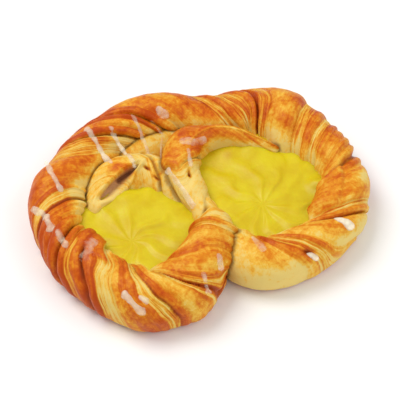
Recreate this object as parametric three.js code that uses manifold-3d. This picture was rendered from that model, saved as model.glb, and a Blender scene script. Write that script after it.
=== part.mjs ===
// A pudding pretzel: one rope of layered dough, twisted and laid as a two-lobed pretzel, with a pool of
// baked pudding in each lobe and strokes of dried sugar icing across the top.
//
// Millimetres, +Z up. The pretzel lies flat on z = 0. X runs from the left lobe to the right lobe and the
// notch between the lobes faces -Y. The origin is under the middle of the bounding box.
import * as THREE from "three";
import { mergeVertices } from "three/addons/utils/BufferGeometryUtils.js";
import Module from "manifold-3d";

const wasm = await Module();
wasm.setup();

// ---- driving dimensions -------------------------------------------------------------------------------

const FIT_GAP = 0.35; // clearance kept between two solids that touch
const SLIVER = 0.01; // detail finer than this is left out of a cut solid
const ROPE_SIDES = 18; // corners of a rope section
const ROPE_STEP = 4.2; // length of rope between two sections
const FOLD_SPACING = 15.5; // length of rope from one twisted fold to the next, along the crest
const FOLD_DEPTH = 0.06; // how far a fold stands out, as a share of the rope's radius
const FOLD_FADE = 0.6; // how low down the rope's side the folds reach, as a share of its radius
const BELLY_FULLNESS = 2.7; // superellipse exponent of the lower half, which has slumped on the tray
const TRAY_SINK = 1.5; // how far the slumped half would reach below the tray, which flattens it
const TIP_ROUNDING = 0.8; // length of a rounded rope tip, as a share of the rope's radius there
const TIP_RINGS = 3; // sections that round a tip off

const PUDDING_LEVEL = 13.5; // height of the pudding where it meets the dough
const PUDDING_CROWN = 1.2; // how far the middle of a pool stands above that level
const PUDDING_EDGE = 0.3; // width of the chamfer around the foot of a pool
const PUDDING_SIDES = 28; // corners of a pool's outline

const ICING_SIDES = 8; // corners of an icing section
const ICING_STEP = 2.6; // length of icing between two sections
const ICING_LIFT = 0.15; // height of the middle of an icing stroke above the crust
const ICING_CEILING = 60; // a height above everything, from which a stroke is dropped

// The rope's line from the tip beside the right lobe to the tip beside the left lobe, as [x, y, z, radius].
const ROPE_LINE = [
  // the arch above the right pool, then down between the pools
  [46.5, 8, 15.5, 3.6], [39, 16, 17, 6.3], [29.5, 23, 19.2, 8], [17.5, 27.5, 19.2, 9.3],
  [4, 23.5, 18.5, 10.3], [-4, 11, 16.5, 10.5], [-4, -3, 14.5, 8.6], [-2.5, -15, 13, 7.2],
  [-3.5, -26.5, 16.5, 9],
  // over the crossing and round the left lobe
  [-13.8, -40, 14.5, 12.2], [-28.6, -50.2, 11.9, 14.6], [-48, -49, 12.7, 13.8], [-61, -32.6, 12.7, 13.2],
  [-68.2, -14, 12.7, 13], [-71.3, 6, 12.4, 11.3], [-63.5, 26, 12.5, 12.8], [-47.6, 40.4, 12.3, 12.5],
  // along the back
  [-28.8, 50.4, 12.3, 12.6], [-8, 54.6, 12.5, 12.6], [10, 52.5, 12, 12.4], [23, 47, 11.2, 11.2],
  [36, 41, 11.5, 12.8], [49.4, 34.6, 11.8, 15.6],
  // round the right lobe to the notch
  [60.4, 20, 11.6, 16.6], [67.4, 2.5, 11.2, 14.6], [70, -17, 11.6, 11.8], [63.2, -35.8, 11.6, 11.7],
  [48.2, -49, 11.6, 11], [28, -54, 11.6, 12.2], [10, -51, 11, 12],
  // under the crossing and along the inside of the left lobe
  [-0.5, -38, 10, 11], [-1.5, -21, 7.5, 7.5], [-5.5, -4, 8.5, 8], [-11, 11, 10.5, 10],
  [-20, 22, 11.5, 11.5], [-30.8, 24.5, 11.2, 11.8], [-41.3, 19.8, 11.2, 9.8], [-49.6, 11.6, 10.2, 7],
];
// The rope crosses itself, so it is made in three lengths that meet at these points of the line.
const ROPE_JOINS = [10, 29];

// How slanted the twist is, as [point of the line, millimetres a fold advances per radian round the rope].
const TWIST = [
  [0, 16], [6, 7], [9, 17], [11, 9], [13, 4], [15, 7], [17, 17], [19, 14], [21, 10],
  [23, 5], [25, 6], [27, 13], [29, 12], [37, 9],
];

// The webs of dough that have proved together between the back and both arms, and behind the arch,
// as middles and half lengths.
const WEBS = [
  { at: [-6, 38, 6], half: [25, 11, 10] },
  { at: [25, 30, 5.5], half: [14, 9, 8] },
];

// The tear in the tip beside the left lobe, as middle, half lengths and turn about Z.
const TEAR = { at: [-34.2, 16.3, 19.5], half: [13, 2.5, 6], turn: 0.36 };

// The pudding pools, as middle and half lengths. The dough around them trims them to shape.
const POOLS = {
  pudding_left: { at: [-38, -10], half: [33, 35] },
  pudding_right: { at: [35, -9], half: [37, 37] },
};

// The icing strokes, as half width, thickness and the points that the stroke runs through.
const ICING = {
  icing_back_left_long: { half: 1.7, thick: 1.3, line: [[-37, 52], [-36, 44], [-35, 37], [-34, 28]] },
  icing_back_left_short: { half: 1.5, thick: 1.2, line: [[-26, 47], [-24.5, 39], [-24, 29], [-24.5, 21]] },
  icing_back_left_string: { half: 1.1, thick: 1.1, line: [[-13, 50], [-11.5, 43], [-13, 27]] },
  icing_back_dab: { half: 2.6, thick: 1.4, line: [[1.5, 48.5], [2.8, 46]] },
  icing_back_string: { half: 1, thick: 1.1, line: [[-4, 46], [-1, 40], [-8, 27]] },
  icing_left_upper: { half: 1.6, thick: 1.2, line: [[-63, 40], [-64, 30], [-63, 20]] },
  icing_left_drip: { half: 2.2, thick: 1.5, line: [[-78, 18], [-75, 10], [-75.5, 0]] },
  icing_left_dab: { half: 1.9, thick: 1.3, line: [[-73.5, -5], [-73, -13]] },
  icing_left_patch: { half: 3.6, thick: 1.2, line: [[-62, -17.2], [-66.5, -23.5]] },
  icing_front_drip: { half: 1.9, thick: 1.4, line: [[-59, -50], [-57, -55], [-54.5, -59]] },
  icing_front_drop: { half: 1.4, thick: 1.2, line: [[-53, -54.5], [-51.5, -56.5]] },
  icing_middle_drip: { half: 1.4, thick: 1.2, line: [[-22.5, -55], [-23.5, -62]] },
  icing_middle_dab: { half: 2.2, thick: 1.2, line: [[-12.3, -50], [-13.3, -53.5]] },
  icing_centre_long: { half: 1.6, thick: 1.2, line: [[-11, 11], [-9.5, -1], [-8, -12]] },
  icing_centre_short: { half: 1.2, thick: 1.1, line: [[2, 15], [0, 8]] },
  icing_arch_dab: { half: 2.4, thick: 1, line: [[2, 21], [7, 19], [12, 20]] },
  icing_notch_dab: { half: 2.4, thick: 1.1, line: [[8, -45], [8.5, -52]] },
  icing_right_drip: { half: 2.5, thick: 1.5, line: [[49, -51], [53, -55.5]] },
  icing_right_dab: { half: 1.6, thick: 1.1, line: [[28, -62], [30.5, -64]] },
};
const STRING_SAG = 1.5; // how far a stroke hangs below a straight line where it bridges a gap
const STROKE_DROOP = 1.4; // furthest that a stroke's edge hangs down a slope, as a share of its half width

const UP = new THREE.Vector3(0, 0, 1);

// ---- solids -------------------------------------------------------------------------------------------

// A closed three.js geometry as a manifold-3d solid.
function solidOf(geometry) {
  const bare = geometry.index ? geometry.toNonIndexed() : geometry.clone();
  for (const name of Object.keys(bare.attributes)) if (name !== "position") bare.deleteAttribute(name);
  const merged = mergeVertices(bare, 1e-4);
  const mesh = new wasm.Mesh({
    numProp: 3,
    vertProperties: new Float32Array(merged.attributes.position.array),
    triVerts: new Uint32Array(merged.index.array),
  });
  return new wasm.Manifold(mesh);
}

// A manifold-3d solid as a three.js geometry.
function geometryOf(solid) {
  const mesh = solid.getMesh();
  const geometry = new THREE.BufferGeometry();
  geometry.setAttribute("position", new THREE.BufferAttribute(mesh.vertProperties, 3));
  geometry.setIndex(new THREE.BufferAttribute(mesh.triVerts, 1));
  geometry.computeVertexNormals();
  return geometry;
}

// The largest body of a solid, without the crumbs and slivers that a cut leaves.
function cleanBody(solid) {
  const largest = solid.decompose().reduce((a, b) => (a.volume() > b.volume() ? a : b));
  return largest.asOriginal().simplify(SLIVER);
}

// A skin of triangles over rings of points, closed by a fan at each end.
function skinOf(rings) {
  const sides = rings[0].length;
  const points = rings.flat();
  const faces = [];
  for (let i = 0; i + 1 < rings.length; i++) {
    for (let k = 0; k < sides; k++) {
      const a = i * sides + k;
      const b = i * sides + ((k + 1) % sides);
      faces.push(a, b, b + sides, a, b + sides, a + sides);
    }
  }
  for (const [first, order] of [[0, -1], [(rings.length - 1) * sides, 1]]) {
    const middle = new THREE.Vector3();
    for (let k = 0; k < sides; k++) middle.addScaledVector(points[first + k], 1 / sides);
    points.push(middle);
    for (let k = 0; k < sides; k++) {
      const edge = [first + k, first + ((k + 1) % sides)];
      faces.push(points.length - 1, ...(order > 0 ? edge : edge.reverse()));
    }
  }
  const geometry = new THREE.BufferGeometry();
  geometry.setFromPoints(points);
  geometry.setIndex(faces);
  return geometry;
}

// ---- the dough rope -----------------------------------------------------------------------------------

const ropeCurve = new THREE.CatmullRomCurve3(
  ROPE_LINE.map(([x, y, z]) => new THREE.Vector3(x, y, z)), false, "centripetal",
);
ropeCurve.arcLengthDivisions = 1200;
const ropeLength = ropeCurve.getLength();
const lengthAtPoint = ROPE_LINE.map((_, i) => {
  const lengths = ropeCurve.getLengths();
  return lengths[Math.round((i / (ROPE_LINE.length - 1)) * (lengths.length - 1))];
});

// A value between the rows of a table of [key, value], eased so that it has no corners.
function eased(rows, key) {
  const last = rows.length - 1;
  if (key <= rows[0][0]) return rows[0][1];
  if (key >= rows[last][0]) return rows[last][1];
  const i = rows.findIndex((row) => row[0] > key) - 1;
  const t = (key - rows[i][0]) / (rows[i + 1][0] - rows[i][0]);
  return THREE.MathUtils.lerp(rows[i][1], rows[i + 1][1], THREE.MathUtils.smoothstep(t, 0, 1));
}

const radiusRows = ROPE_LINE.map((row, i) => [lengthAtPoint[i], row[3]]);
const twistRows = TWIST.map(([point, slant]) => [lengthAtPoint[point], slant]);

// One section of the rope at a length along it, with the skin moved out by grow.
function ropeRing(along, grow, shrink = 1, push = 0) {
  const share = along / ropeLength;
  const tangent = ropeCurve.getTangentAt(share);
  const side = UP.clone().cross(tangent).normalize();
  const middle = ropeCurve.getPointAt(share).addScaledVector(tangent, push);
  const radius = eased(radiusRows, along);
  const slant = eased(twistRows, along);
  return Array.from({ length: ROPE_SIDES }, (_, k) => {
    const angle = (k / ROPE_SIDES) * 2 * Math.PI - Math.PI / 2;
    const crest = along - slant * (angle - Math.PI / 2);
    const [c, s] = [Math.cos(angle), Math.sin(angle)];
    const wave = Math.sin((2 * Math.PI * crest) / FOLD_SPACING) * Math.max(0, s + FOLD_FADE);
    const fold = 1 + FOLD_DEPTH * wave;
    const power = s < 0 ? BELLY_FULLNESS : 2;
    const belly = (Math.abs(c) ** power + Math.abs(s) ** power) ** (-1 / power);
    const across = (radius * fold * belly + grow) * shrink * c;
    const upright = s < 0 ? (middle.z + TRAY_SINK) * belly : radius * fold + grow;
    const raised = upright * shrink * s;
    return middle.clone().addScaledVector(side, across).addScaledVector(UP, raised);
  });
}

// One length of the rope as a solid. A tip is rounded off; a join ends flat.
function ropeLengthSolid(from, to, roundStart, roundEnd, grow) {
  const length = to - from;
  const steps = Math.max(2, Math.round(length / ROPE_STEP));
  const rings = Array.from({ length: steps + 1 }, (_, i) => ropeRing(from + (length * i) / steps, grow));
  const tip = (along, direction) =>
    Array.from({ length: TIP_RINGS }, (_, i) => {
      const turn = ((i + 1) / (TIP_RINGS + 0.5)) * (Math.PI / 2);
      const reach = (eased(radiusRows, along) + grow) * TIP_ROUNDING;
      return ropeRing(along, grow, Math.cos(turn), direction * reach * Math.sin(turn));
    });
  if (roundStart) rings.unshift(...tip(from, -1).reverse());
  if (roundEnd) rings.push(...tip(to, 1));
  return solidOf(skinOf(rings));
}

// A block that holds everything under the tray's surface.
function underTray() {
  return solidOf(new THREE.BoxGeometry(400, 400, 100).translate(0, 0, -50));
}

// The torn pocket near the rope's left tip.
function tearSolid() {
  const pocket = new THREE.SphereGeometry(1, 18, 12).scale(...TEAR.half);
  return solidOf(pocket.rotateZ(TEAR.turn).translate(...TEAR.at));
}

// A web between the rope's back and its arms, with its skin moved out by grow.
function webSolid(web, grow) {
  const half = web.half.map((length) => length + grow);
  return solidOf(new THREE.SphereGeometry(1, 24, 14).scale(...half).translate(...web.at));
}

// The whole baked rope, with its skin moved out by grow.
function doughSolid(grow = 0) {
  const [first, second] = ROPE_JOINS.map((point) => lengthAtPoint[point]);
  const arch = ropeLengthSolid(0, first, true, false, grow);
  const bow = ropeLengthSolid(first, second, false, false, grow);
  const tail = ropeLengthSolid(second, ropeLength, false, true, grow);
  const rope = arch.add(bow).add(tail);
  return WEBS.reduce((dough, web) => dough.add(webSolid(web, grow)), rope).subtract(underTray());
}

// ---- pudding and icing --------------------------------------------------------------------------------

// A pool of pudding before the dough trims it: a plug with a flat foot and a low crown.
function poolSolid({ at, half }) {
  const profile = [
    [0, 0], [1 - PUDDING_EDGE / half[0], 0], [1, PUDDING_EDGE], [1, PUDDING_LEVEL],
    [0.8, PUDDING_LEVEL + 0.2 * PUDDING_CROWN], [0.45, PUDDING_LEVEL + 0.75 * PUDDING_CROWN],
    [0, PUDDING_LEVEL + PUDDING_CROWN],
  ].map(([r, z]) => new THREE.Vector2(r, z));
  const plug = new THREE.LatheGeometry(profile, PUDDING_SIDES).rotateX(Math.PI / 2);
  return solidOf(plug.scale(half[0], half[1], 1).translate(at[0], at[1], 0));
}

// The heights of a stroke's middle line: on the crust, or hanging from the tops on both sides of a gap.
function strokeHeights(tops) {
  return tops.map((top, i) => {
    let level = top;
    for (let a = 0; a < i; a++) {
      for (let b = i + 1; b < tops.length; b++) {
        const chord = THREE.MathUtils.lerp(tops[a], tops[b], (i - a) / (b - a));
        level = Math.max(level, chord - STRING_SAG);
      }
    }
    return level;
  });
}

// An icing stroke that lies over the tops under it, before they trim its underside.
function icingSolid({ half, thick, line }, topAt) {
  const plan = new THREE.CatmullRomCurve3(line.map(([x, y]) => new THREE.Vector3(x, y, 0)));
  const steps = Math.max(3, Math.round(plan.getLength() / ICING_STEP));
  const middles = plan.getSpacedPoints(steps);
  const heights = strokeHeights(middles.map((point) => topAt(point.x, point.y)));
  const rings = middles.map((middle, i) => {
    const share = i / steps;
    const side = UP.clone().cross(plan.getTangentAt(share)).normalize();
    const narrow = Math.max(0.45, Math.sin(Math.PI * THREE.MathUtils.lerp(0.12, 0.88, share)));
    return Array.from({ length: ICING_SIDES }, (_, k) => {
      const angle = (k / ICING_SIDES) * 2 * Math.PI;
      const point = middle.clone().addScaledVector(side, half * narrow * Math.cos(angle));
      const rest = Math.max(topAt(point.x, point.y), heights[i] - STROKE_DROOP * half);
      point.z = rest + ICING_LIFT + thick * Math.sin(angle);
      return point;
    });
  });
  return solidOf(skinOf(rings));
}

// ---- materials and assembly ---------------------------------------------------------------------------

const material = (colour, roughness) =>
  new THREE.MeshStandardMaterial({ color: new THREE.Color(colour), roughness, metalness: 0 });
const CRUST = material("#d98a35", 0.5);
const PUDDING = material("#e3c62e", 0.3);
const SUGAR = material("#efe3d2", 0.35);

function addNode(group, name, solid, finish) {
  const mesh = new THREE.Mesh(geometryOf(cleanBody(solid)), finish);
  mesh.name = name;
  group.add(mesh);
  return mesh;
}

const pretzel = new THREE.Group();
const clearance = doughSolid(FIT_GAP);
const dough = addNode(pretzel, "dough_rope", doughSolid().subtract(tearSolid()), CRUST);
const pools = Object.entries(POOLS).map(([name, pool]) =>
  addNode(pretzel, name, poolSolid(pool).subtract(clearance), PUDDING));

const drop = new THREE.Raycaster();
const below = [dough, ...pools];
below.forEach((mesh) => mesh.updateMatrixWorld(true));
function topAt(x, y) {
  drop.set(new THREE.Vector3(x, y, ICING_CEILING), new THREE.Vector3(0, 0, -1));
  const hit = drop.intersectObjects(below, false)[0];
  return hit ? hit.point.z : 0;
}
for (const [name, stroke] of Object.entries(ICING)) {
  addNode(pretzel, name, icingSolid(stroke, topAt).subtract(clearance), SUGAR);
}

export default pretzel;
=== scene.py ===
"""Looks of the pudding pretzel: twisted puff pastry, two pools of pudding and icing threads.

The pastry is one rope. Distances along it start at the arch tip, and an angle of 0 degrees
looks outward, 90 up and 180 towards the pudding. A fold of the pastry runs slantwise round
the rope, so each point also has a fold number: the distance along the rope at which its
fold crosses the top. All sizes below are in millimetres, and meshes are made in metres.
"""

from __future__ import annotations

import itertools
import logging
import math
from abc import ABC, abstractmethod
from dataclasses import dataclass, field
from enum import Enum
from functools import cached_property

import bpy
import numpy as np
from mathutils import Matrix, Vector
from mathutils.bvhtree import BVHTree
from mathutils.kdtree import KDTree


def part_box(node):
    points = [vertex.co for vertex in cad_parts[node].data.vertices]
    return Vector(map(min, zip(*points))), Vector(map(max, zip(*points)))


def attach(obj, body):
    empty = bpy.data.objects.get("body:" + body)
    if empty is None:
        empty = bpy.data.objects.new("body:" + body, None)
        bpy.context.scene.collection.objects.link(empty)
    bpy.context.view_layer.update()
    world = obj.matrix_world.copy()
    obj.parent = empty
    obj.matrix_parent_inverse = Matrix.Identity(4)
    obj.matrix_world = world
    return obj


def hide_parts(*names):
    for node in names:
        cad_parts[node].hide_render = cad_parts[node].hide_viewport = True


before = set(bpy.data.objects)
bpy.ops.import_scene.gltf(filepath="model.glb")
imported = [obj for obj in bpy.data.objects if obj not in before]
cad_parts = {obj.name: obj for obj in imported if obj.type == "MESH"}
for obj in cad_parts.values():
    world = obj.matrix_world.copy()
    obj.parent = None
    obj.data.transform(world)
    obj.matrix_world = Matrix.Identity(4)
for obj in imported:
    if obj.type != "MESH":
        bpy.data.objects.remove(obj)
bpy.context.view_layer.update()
LOG = logging.getLogger("pretzel")
Array = np.ndarray
Pair = tuple[float, float]
Piece = bpy.types.Object
Socket = bpy.types.NodeSocket
# painted_shade is shade painted into creases, cracks, the tear's hole and under flaps
TONES = ("flow", "bake", "layers", "painted_shade", "pocket", "under")


class Kind(Enum):
    """What a fold of the pastry is."""

    FACE = "smooth puffed face"
    RIB = "narrow raised rib"
    LINES = "cut edge that shows the thin layers"
    # a gap is a sunken crease, and its darkness is painted shade
    GAP = "dark crease"


class Slot(Enum):
    """The record's material slots."""

    CRUST = "crust"
    PUDDING = "pudding"
    ICING = "icing"


@dataclass(frozen=True)
class Fold:
    """A fold from its start to the start of the next one."""

    start: float
    kind: Kind
    height: float
    bake: float


@dataclass(frozen=True)
class Patch:
    """A spot on the rope that is browner, paler, higher or lower than the rest of its fold."""

    fold: float
    angle: float
    width: float
    sweep: float
    bake: float = 0.0
    height: float = 0.0


@dataclass(frozen=True)
class Span:
    """A range with soft ends: 0 outside it and 1 in its middle."""

    start: float
    full: float
    fading: float
    end: float

    def share(self, value: Array) -> Array:
        """How far inside the range each value lies, from 0 to 1."""
        return blend(self.start, self.full, value) * (1 - blend(self.fading, self.end, value))


@dataclass(frozen=True)
class Flap:
    """A smooth puffed face that lies over the folds and ends in a shadow at its inner edge."""

    folds: Pair
    angles: Pair
    bake: float
    height: float
    edge: float = 2.5
    edge_turn: float = 12.0
    shadow_turn: float = 6.0

    def lengthwise(self, fold: Array) -> Array:
        """How much of the face reaches each fold number, from 0 to 1."""
        first, last = self.folds
        return Span(first, first + self.edge, last - self.edge, last).share(fold)

    def cover(self, fold: Array, degrees: Array) -> Array:
        """How much of the face lies over a place.

        Args:
            fold: Fold numbers.
            degrees: Angles round the rope.

        Returns:
            Numbers between 0 and 1.
        """
        low, high = self.angles
        crosswise = Span(low, low + self.edge_turn, high - self.edge_turn, high)
        return self.lengthwise(fold) * crosswise.share(degrees)

    def shadow(self, fold: Array, degrees: Array) -> Array:
        """How dark the crease under its inner edge is, from 0 to 1."""
        return self.lengthwise(fold) * hump(self.angles[1], self.shadow_turn, degrees)


# x, y, z, radius and distance along the rope, from the arch's tip to the end of the tail
ROPE_LINE = (
    (46.5, 8, 15.5, 3.6, 0),
    (39, 16, 17, 6.3, 12),
    (29.5, 23, 19.2, 8, 24),
    (17.5, 27.5, 19.2, 9.3, 37),
    (4, 23.5, 18.5, 10.3, 52),
    (-4, 11, 16.5, 10.5, 68),
    (-4, -3, 14.5, 8.6, 82),
    (-2.5, -15, 13, 7.2, 95),
    (-3.5, -26.5, 16.5, 9.7, 107),
    (-13.8, -40, 14.5, 12.2, 125),
    (-28.6, -50.2, 11.9, 14.6, 144),
    (-48, -49, 12.7, 13.8, 165),
    (-61, -32.6, 12.7, 13.2, 186),
    (-68.2, -14, 12.7, 13, 207),
    (-71.3, 6, 12.4, 11.3, 227),
    (-63.5, 26, 12.5, 12.8, 248),
    (-47.6, 40.4, 12.3, 12.5, 269),
    (-28.8, 50.4, 12.3, 12.6, 291),
    (-8, 54.6, 12.5, 12.6, 312),
    (10, 52.5, 12, 12.4, 330),
    (23, 47, 11.2, 11.2, 344),
    (36, 41, 11.5, 12.8, 359),
    (49.4, 34.6, 11.8, 15.6, 373),
    (60.4, 20, 11.6, 16.6, 391),
    (67.4, 2.5, 11.2, 14.6, 411),
    (70, -17, 11.6, 11.8, 431),
    (63.2, -35.8, 11.6, 11.7, 451),
    (48.2, -49, 11.6, 11, 471),
    (28, -54, 11.6, 12.2, 492),
    (10, -51, 11, 12, 510),
    (-0.5, -38, 10, 11, 528),
    (-1.5, -21, 7.5, 7.5, 546),
    (-5.5, -4, 8.5, 8, 565),
    (-11, 11, 10.5, 10, 580),
    (-20, 22, 11.5, 11.5, 594),
    (-30.8, 24.5, 11.2, 11.8, 606),
    (-41.3, 19.8, 11.2, 9.8, 619),
    (-49.6, 11.6, 10.2, 7.0, 631),
)

# a point of the middle line, counted from 0, and the slant of the folds there
TWIST = (
    (0, 16),
    (6, 7),
    (9, 17),
    (10, 15),
    (11, 18),
    (12, 17),
    (13, 7),
    (15, 7),
    (17, 17),
    (19, 14),
    (21, 10),
    (23, 5),
    (25, 6),
    (27, 13),
    (29, 12),
    (37, 9),
)

# start, kind, height and bake of each fold, in order along the rope
FOLDS = (
    Fold(-40, Kind.FACE, 0, 0.55),
    Fold(61, Kind.RIB, 1.0, 0.62),
    Fold(69, Kind.GAP, 1.3, 0.50),
    Fold(70.5, Kind.LINES, 0.3, 0.29),
    Fold(80, Kind.FACE, 0.81, 0.06),
    Fold(93, Kind.LINES, 0.3, 0.29),
    Fold(102.8, Kind.GAP, 0.9, 0.40),
    Fold(104.2, Kind.RIB, 1.0, 0.60),
    Fold(108.2, Kind.LINES, 0.3, 0.40),
    Fold(110.8, Kind.RIB, 0.7, 0.60),
    Fold(114, Kind.FACE, 0.9, 0.45),
    Fold(124.5, Kind.RIB, 0.7, 0.60),
    Fold(131, Kind.FACE, 1.2, 0.47),
    Fold(145, Kind.RIB, 0.5, 0.62),
    Fold(147, Kind.LINES, 0.3, 0.34),
    Fold(151, Kind.GAP, 1.95, 0.90),
    Fold(153, Kind.LINES, 0.3, 0.33),
    Fold(154.8, Kind.RIB, 0.6, 0.66),
    Fold(156.6, Kind.FACE, 1.5, 0.44),
    Fold(163.6, Kind.RIB, 0.7, 0.74),
    Fold(167.6, Kind.GAP, 1.0, 0.80),
    Fold(168.8, Kind.LINES, 0.3, 0.30),
    Fold(173.8, Kind.RIB, 0.9, 0.76),
    Fold(177.6, Kind.RIB, 0.8, 0.66),
    Fold(182.2, Kind.FACE, 0.6, 0.46),
    Fold(186, Kind.LINES, 0.4, 0.20),
    Fold(195.5, Kind.RIB, 1.3, 0.84),
    Fold(200.8, Kind.GAP, 1.9, 0.85),
    Fold(202.6, Kind.RIB, 1.1, 0.76),
    Fold(206.5, Kind.LINES, 0.3, 0.34),
    Fold(209.5, Kind.RIB, 1.0, 0.84),
    Fold(213.8, Kind.GAP, 1.9, 0.85),
    Fold(216, Kind.FACE, 1.5, 0.78),
    Fold(223, Kind.FACE, 1.0, 0.56),
    Fold(227.5, Kind.RIB, 0.99, 0.66),
    Fold(232, Kind.GAP, 1.69, 0.80),
    Fold(234.5, Kind.LINES, 0.3, 0.31),
    Fold(240.5, Kind.RIB, 0.77, 0.86),
    Fold(243.5, Kind.FACE, 1.89, 0.58),
    Fold(264, Kind.LINES, 0.2, 0.33),
    Fold(280, Kind.GAP, 2.08, 0.60),
    Fold(283, Kind.RIB, 1.1, 0.82),
    Fold(290, Kind.FACE, 1.08, 0.40),
    Fold(297, Kind.RIB, 1.43, 0.90),
    Fold(302, Kind.GAP, 1.69, 0.50),
    Fold(304.5, Kind.FACE, 1.35, 0.80),
    Fold(312, Kind.FACE, 1.89, 0.55),
    Fold(345, Kind.LINES, 0.2, 0.46),
    Fold(352, Kind.RIB, 0.77, 0.62),
    Fold(357, Kind.LINES, 0.2, 0.36),
    Fold(365.5, Kind.RIB, 0.88, 0.66),
    Fold(370.5, Kind.GAP, 2.08, 0.90),
    Fold(373, Kind.LINES, 0.3, 0.57),
    Fold(380, Kind.FACE, 2.8, 0.40),
    Fold(398, Kind.LINES, 0.3, 0.29),
    Fold(404.5, Kind.RIB, 0.99, 0.72),
    Fold(410.5, Kind.LINES, 0.3, 0.32),
    Fold(416, Kind.RIB, 0.99, 0.66),
    Fold(420.5, Kind.RIB, 0.99, 0.58),
    Fold(425, Kind.RIB, 1.1, 0.55),
    Fold(429.5, Kind.RIB, 0.99, 0.58),
    Fold(433, Kind.GAP, 1.82, 0.80),
    Fold(436, Kind.RIB, 0.88, 0.78),
    Fold(440, Kind.FACE, 1.89, 0.58),
    Fold(461.5, Kind.LINES, 0.3, 0.31),
    Fold(466, Kind.RIB, 0.99, 0.56),
    Fold(471, Kind.GAP, 1.3, 0.70),
    Fold(473, Kind.FACE, 1.35, 0.28),
    Fold(490, Kind.RIB, 0.99, 0.62),
    Fold(494, Kind.LINES, 0.3, 0.38),
    Fold(500, Kind.RIB, 0.99, 0.66),
    Fold(506, Kind.FACE, 1.62, 0.27),
    Fold(535, Kind.LINES, 0.3, 0.32),
    Fold(546, Kind.FACE, 0.94, 0.12),
    Fold(560, Kind.LINES, 0.3, 0.29),
    Fold(572, Kind.FACE, 0.81, 0.12),
    Fold(585, Kind.GAP, 1.04, 0.30),
    Fold(588, Kind.LINES, 0.3, 0.29),
    Fold(598, Kind.FACE, 0.81, 0.48),
    Fold(613, Kind.LINES, 0.3, 0.32),
    Fold(622, Kind.FACE, 0.54, 0.12),
    Fold(670, Kind.FACE, 0.54, 0.12),
)

# fold, angle in degrees, width, sweep in degrees, added bake and added height
PATCHES = (
    Patch(77, 78, 1.5, 7, 1.0, -1.6),
    Patch(592, 74, 1.7, 5, 0.9, -1.4),
    Patch(588, 58, 1.2, 4, 0.6, -1.2),
    Patch(392, 120, 4, 12, 0.28),
    Patch(396, 60, 3, 14, 0.30),
    Patch(160, 95, 4, 22, -0.22),
    Patch(243, 140, 4, 18, -0.45),
    Patch(217, 126, 7, 26, -0.42),
    Patch(509, 108, 4, 16, 0.35),
    Patch(448, 50, 5, 20, -0.55),
    Patch(499.5, 50, 1.5, 8, 0.5, -1.7),
    Patch(609, 84, 5, 16, 0.45),
    Patch(589, 102, 3, 10, 0.35),
    Patch(604, 70, 3, 12, 0.30),
    Patch(300, 110, 4, 18, 0.10),
    Patch(107, 48, 6, 24, -0.34),
    Patch(96.5, 92, 2.6, 26, -0.05, 2.0),
    Patch(92.6, 108, 0.8, 20, 0.35, -1.4),
    Patch(254, 95, 5, 12, 0.14),
    Patch(330, 100, 7, 20, 0.12),
    Patch(255, 60, 4, 16, 0.14),
    Patch(427, 75, 3, 30, 0.0, 1.8),
    Patch(231, 165, 10, 30, -0.2, 3.8),
)

# folds and degrees that each flap covers, its bake and its height
FLAPS = (
    Flap((189.5, 209), (90, 168), 0.72, 2.6),
    Flap((431, 463), (96, 170), 0.52, 5.4, edge=7),
)


def blend(low: float, high: float, value: Array) -> Array:
    """A smooth rise from 0 at low to 1 at high.

    Args:
        low: Where the rise starts.
        high: Where the rise ends.
        value: The values to grade.

    Returns:
        Numbers between 0 and 1.
    """
    part = np.clip((value - low) / (high - low), 0, 1)
    return part * part * (3 - 2 * part)


def hump(centre: float, width: float, value: Array) -> Array:
    """A soft bell that is 1 at its centre.

    Args:
        centre: Where the bell stands.
        width: Half its width.
        value: The values to grade.

    Returns:
        Numbers between 0 and 1.
    """
    return np.exp(-(((value - centre) / width) ** 2))


# large whole numbers that scatter the cells of a grid
CELL_CODES = (73856093, 19349663, 83492791)
SEED_CODE = 26544357
STIR_CODE = 1274126177


def grain(point: Array, seed: int = 0) -> Array:
    """Smooth random values on a grid of unit cells, the same on every run.

    Args:
        point: Points of three coordinates, one per row.
        seed: Which pattern.

    Returns:
        Numbers between -1 and 1, one per row.
    """
    cell = np.floor(point).astype(np.int64)
    part = point - cell
    ease = part * part * (3 - 2 * part)
    total = np.zeros(len(point))
    for corner in itertools.product((0, 1), repeat=3):
        spot = cell + np.array(corner)
        code = spot @ np.array(CELL_CODES) + seed * SEED_CODE
        code = (code ^ (code >> 13)) * STIR_CODE
        code = code ^ (code >> 16)
        value = (code & 0xFFFF) / 32767.5 - 1
        total += value * np.prod(np.where(corner, ease, 1 - ease), axis=1)
    return total


def select_only(piece: Piece) -> None:
    """Selects one piece, makes it the active one and deselects all others.

    Args:
        piece: The piece.
    """
    bpy.ops.object.select_all(action="DESELECT")
    bpy.context.view_layer.objects.active = piece
    piece.select_set(True)


def shaped_sphere(name: str, sides: int, rings: int) -> tuple[Piece, Array, Array]:
    """Adds a sphere to be reshaped, and says where each of its points is.

    Args:
        name: The new object's name.
        sides: Points round each ring.
        rings: Rings of faces from pole to pole.

    Returns:
        The object, each point's side number and each point's ring number (0 and rings at the poles).
    """
    bpy.ops.object.select_all(action="DESELECT")
    bpy.ops.mesh.primitive_uv_sphere_add(segments=sides, ring_count=rings, radius=1)
    ball = bpy.context.object
    ball.name = name
    ball.data.name = name
    place = read_points(ball)
    ring = np.rint(np.arctan2(np.hypot(place[:, 0], place[:, 1]), place[:, 2]) / math.pi * rings)
    side = np.rint(np.arctan2(place[:, 1], place[:, 0]) / (2 * math.pi) * sides) % sides
    return ball, side.astype(int), ring.astype(int)


def read_points(piece: Piece) -> Array:
    """The points of a piece's mesh.

    Args:
        piece: The piece.

    Returns:
        The points in metres, one per row.
    """
    flat = np.empty(len(piece.data.vertices) * 3, dtype=np.float32)
    piece.data.vertices.foreach_get("co", flat)
    return flat.reshape(-1, 3).astype(float)


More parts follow.
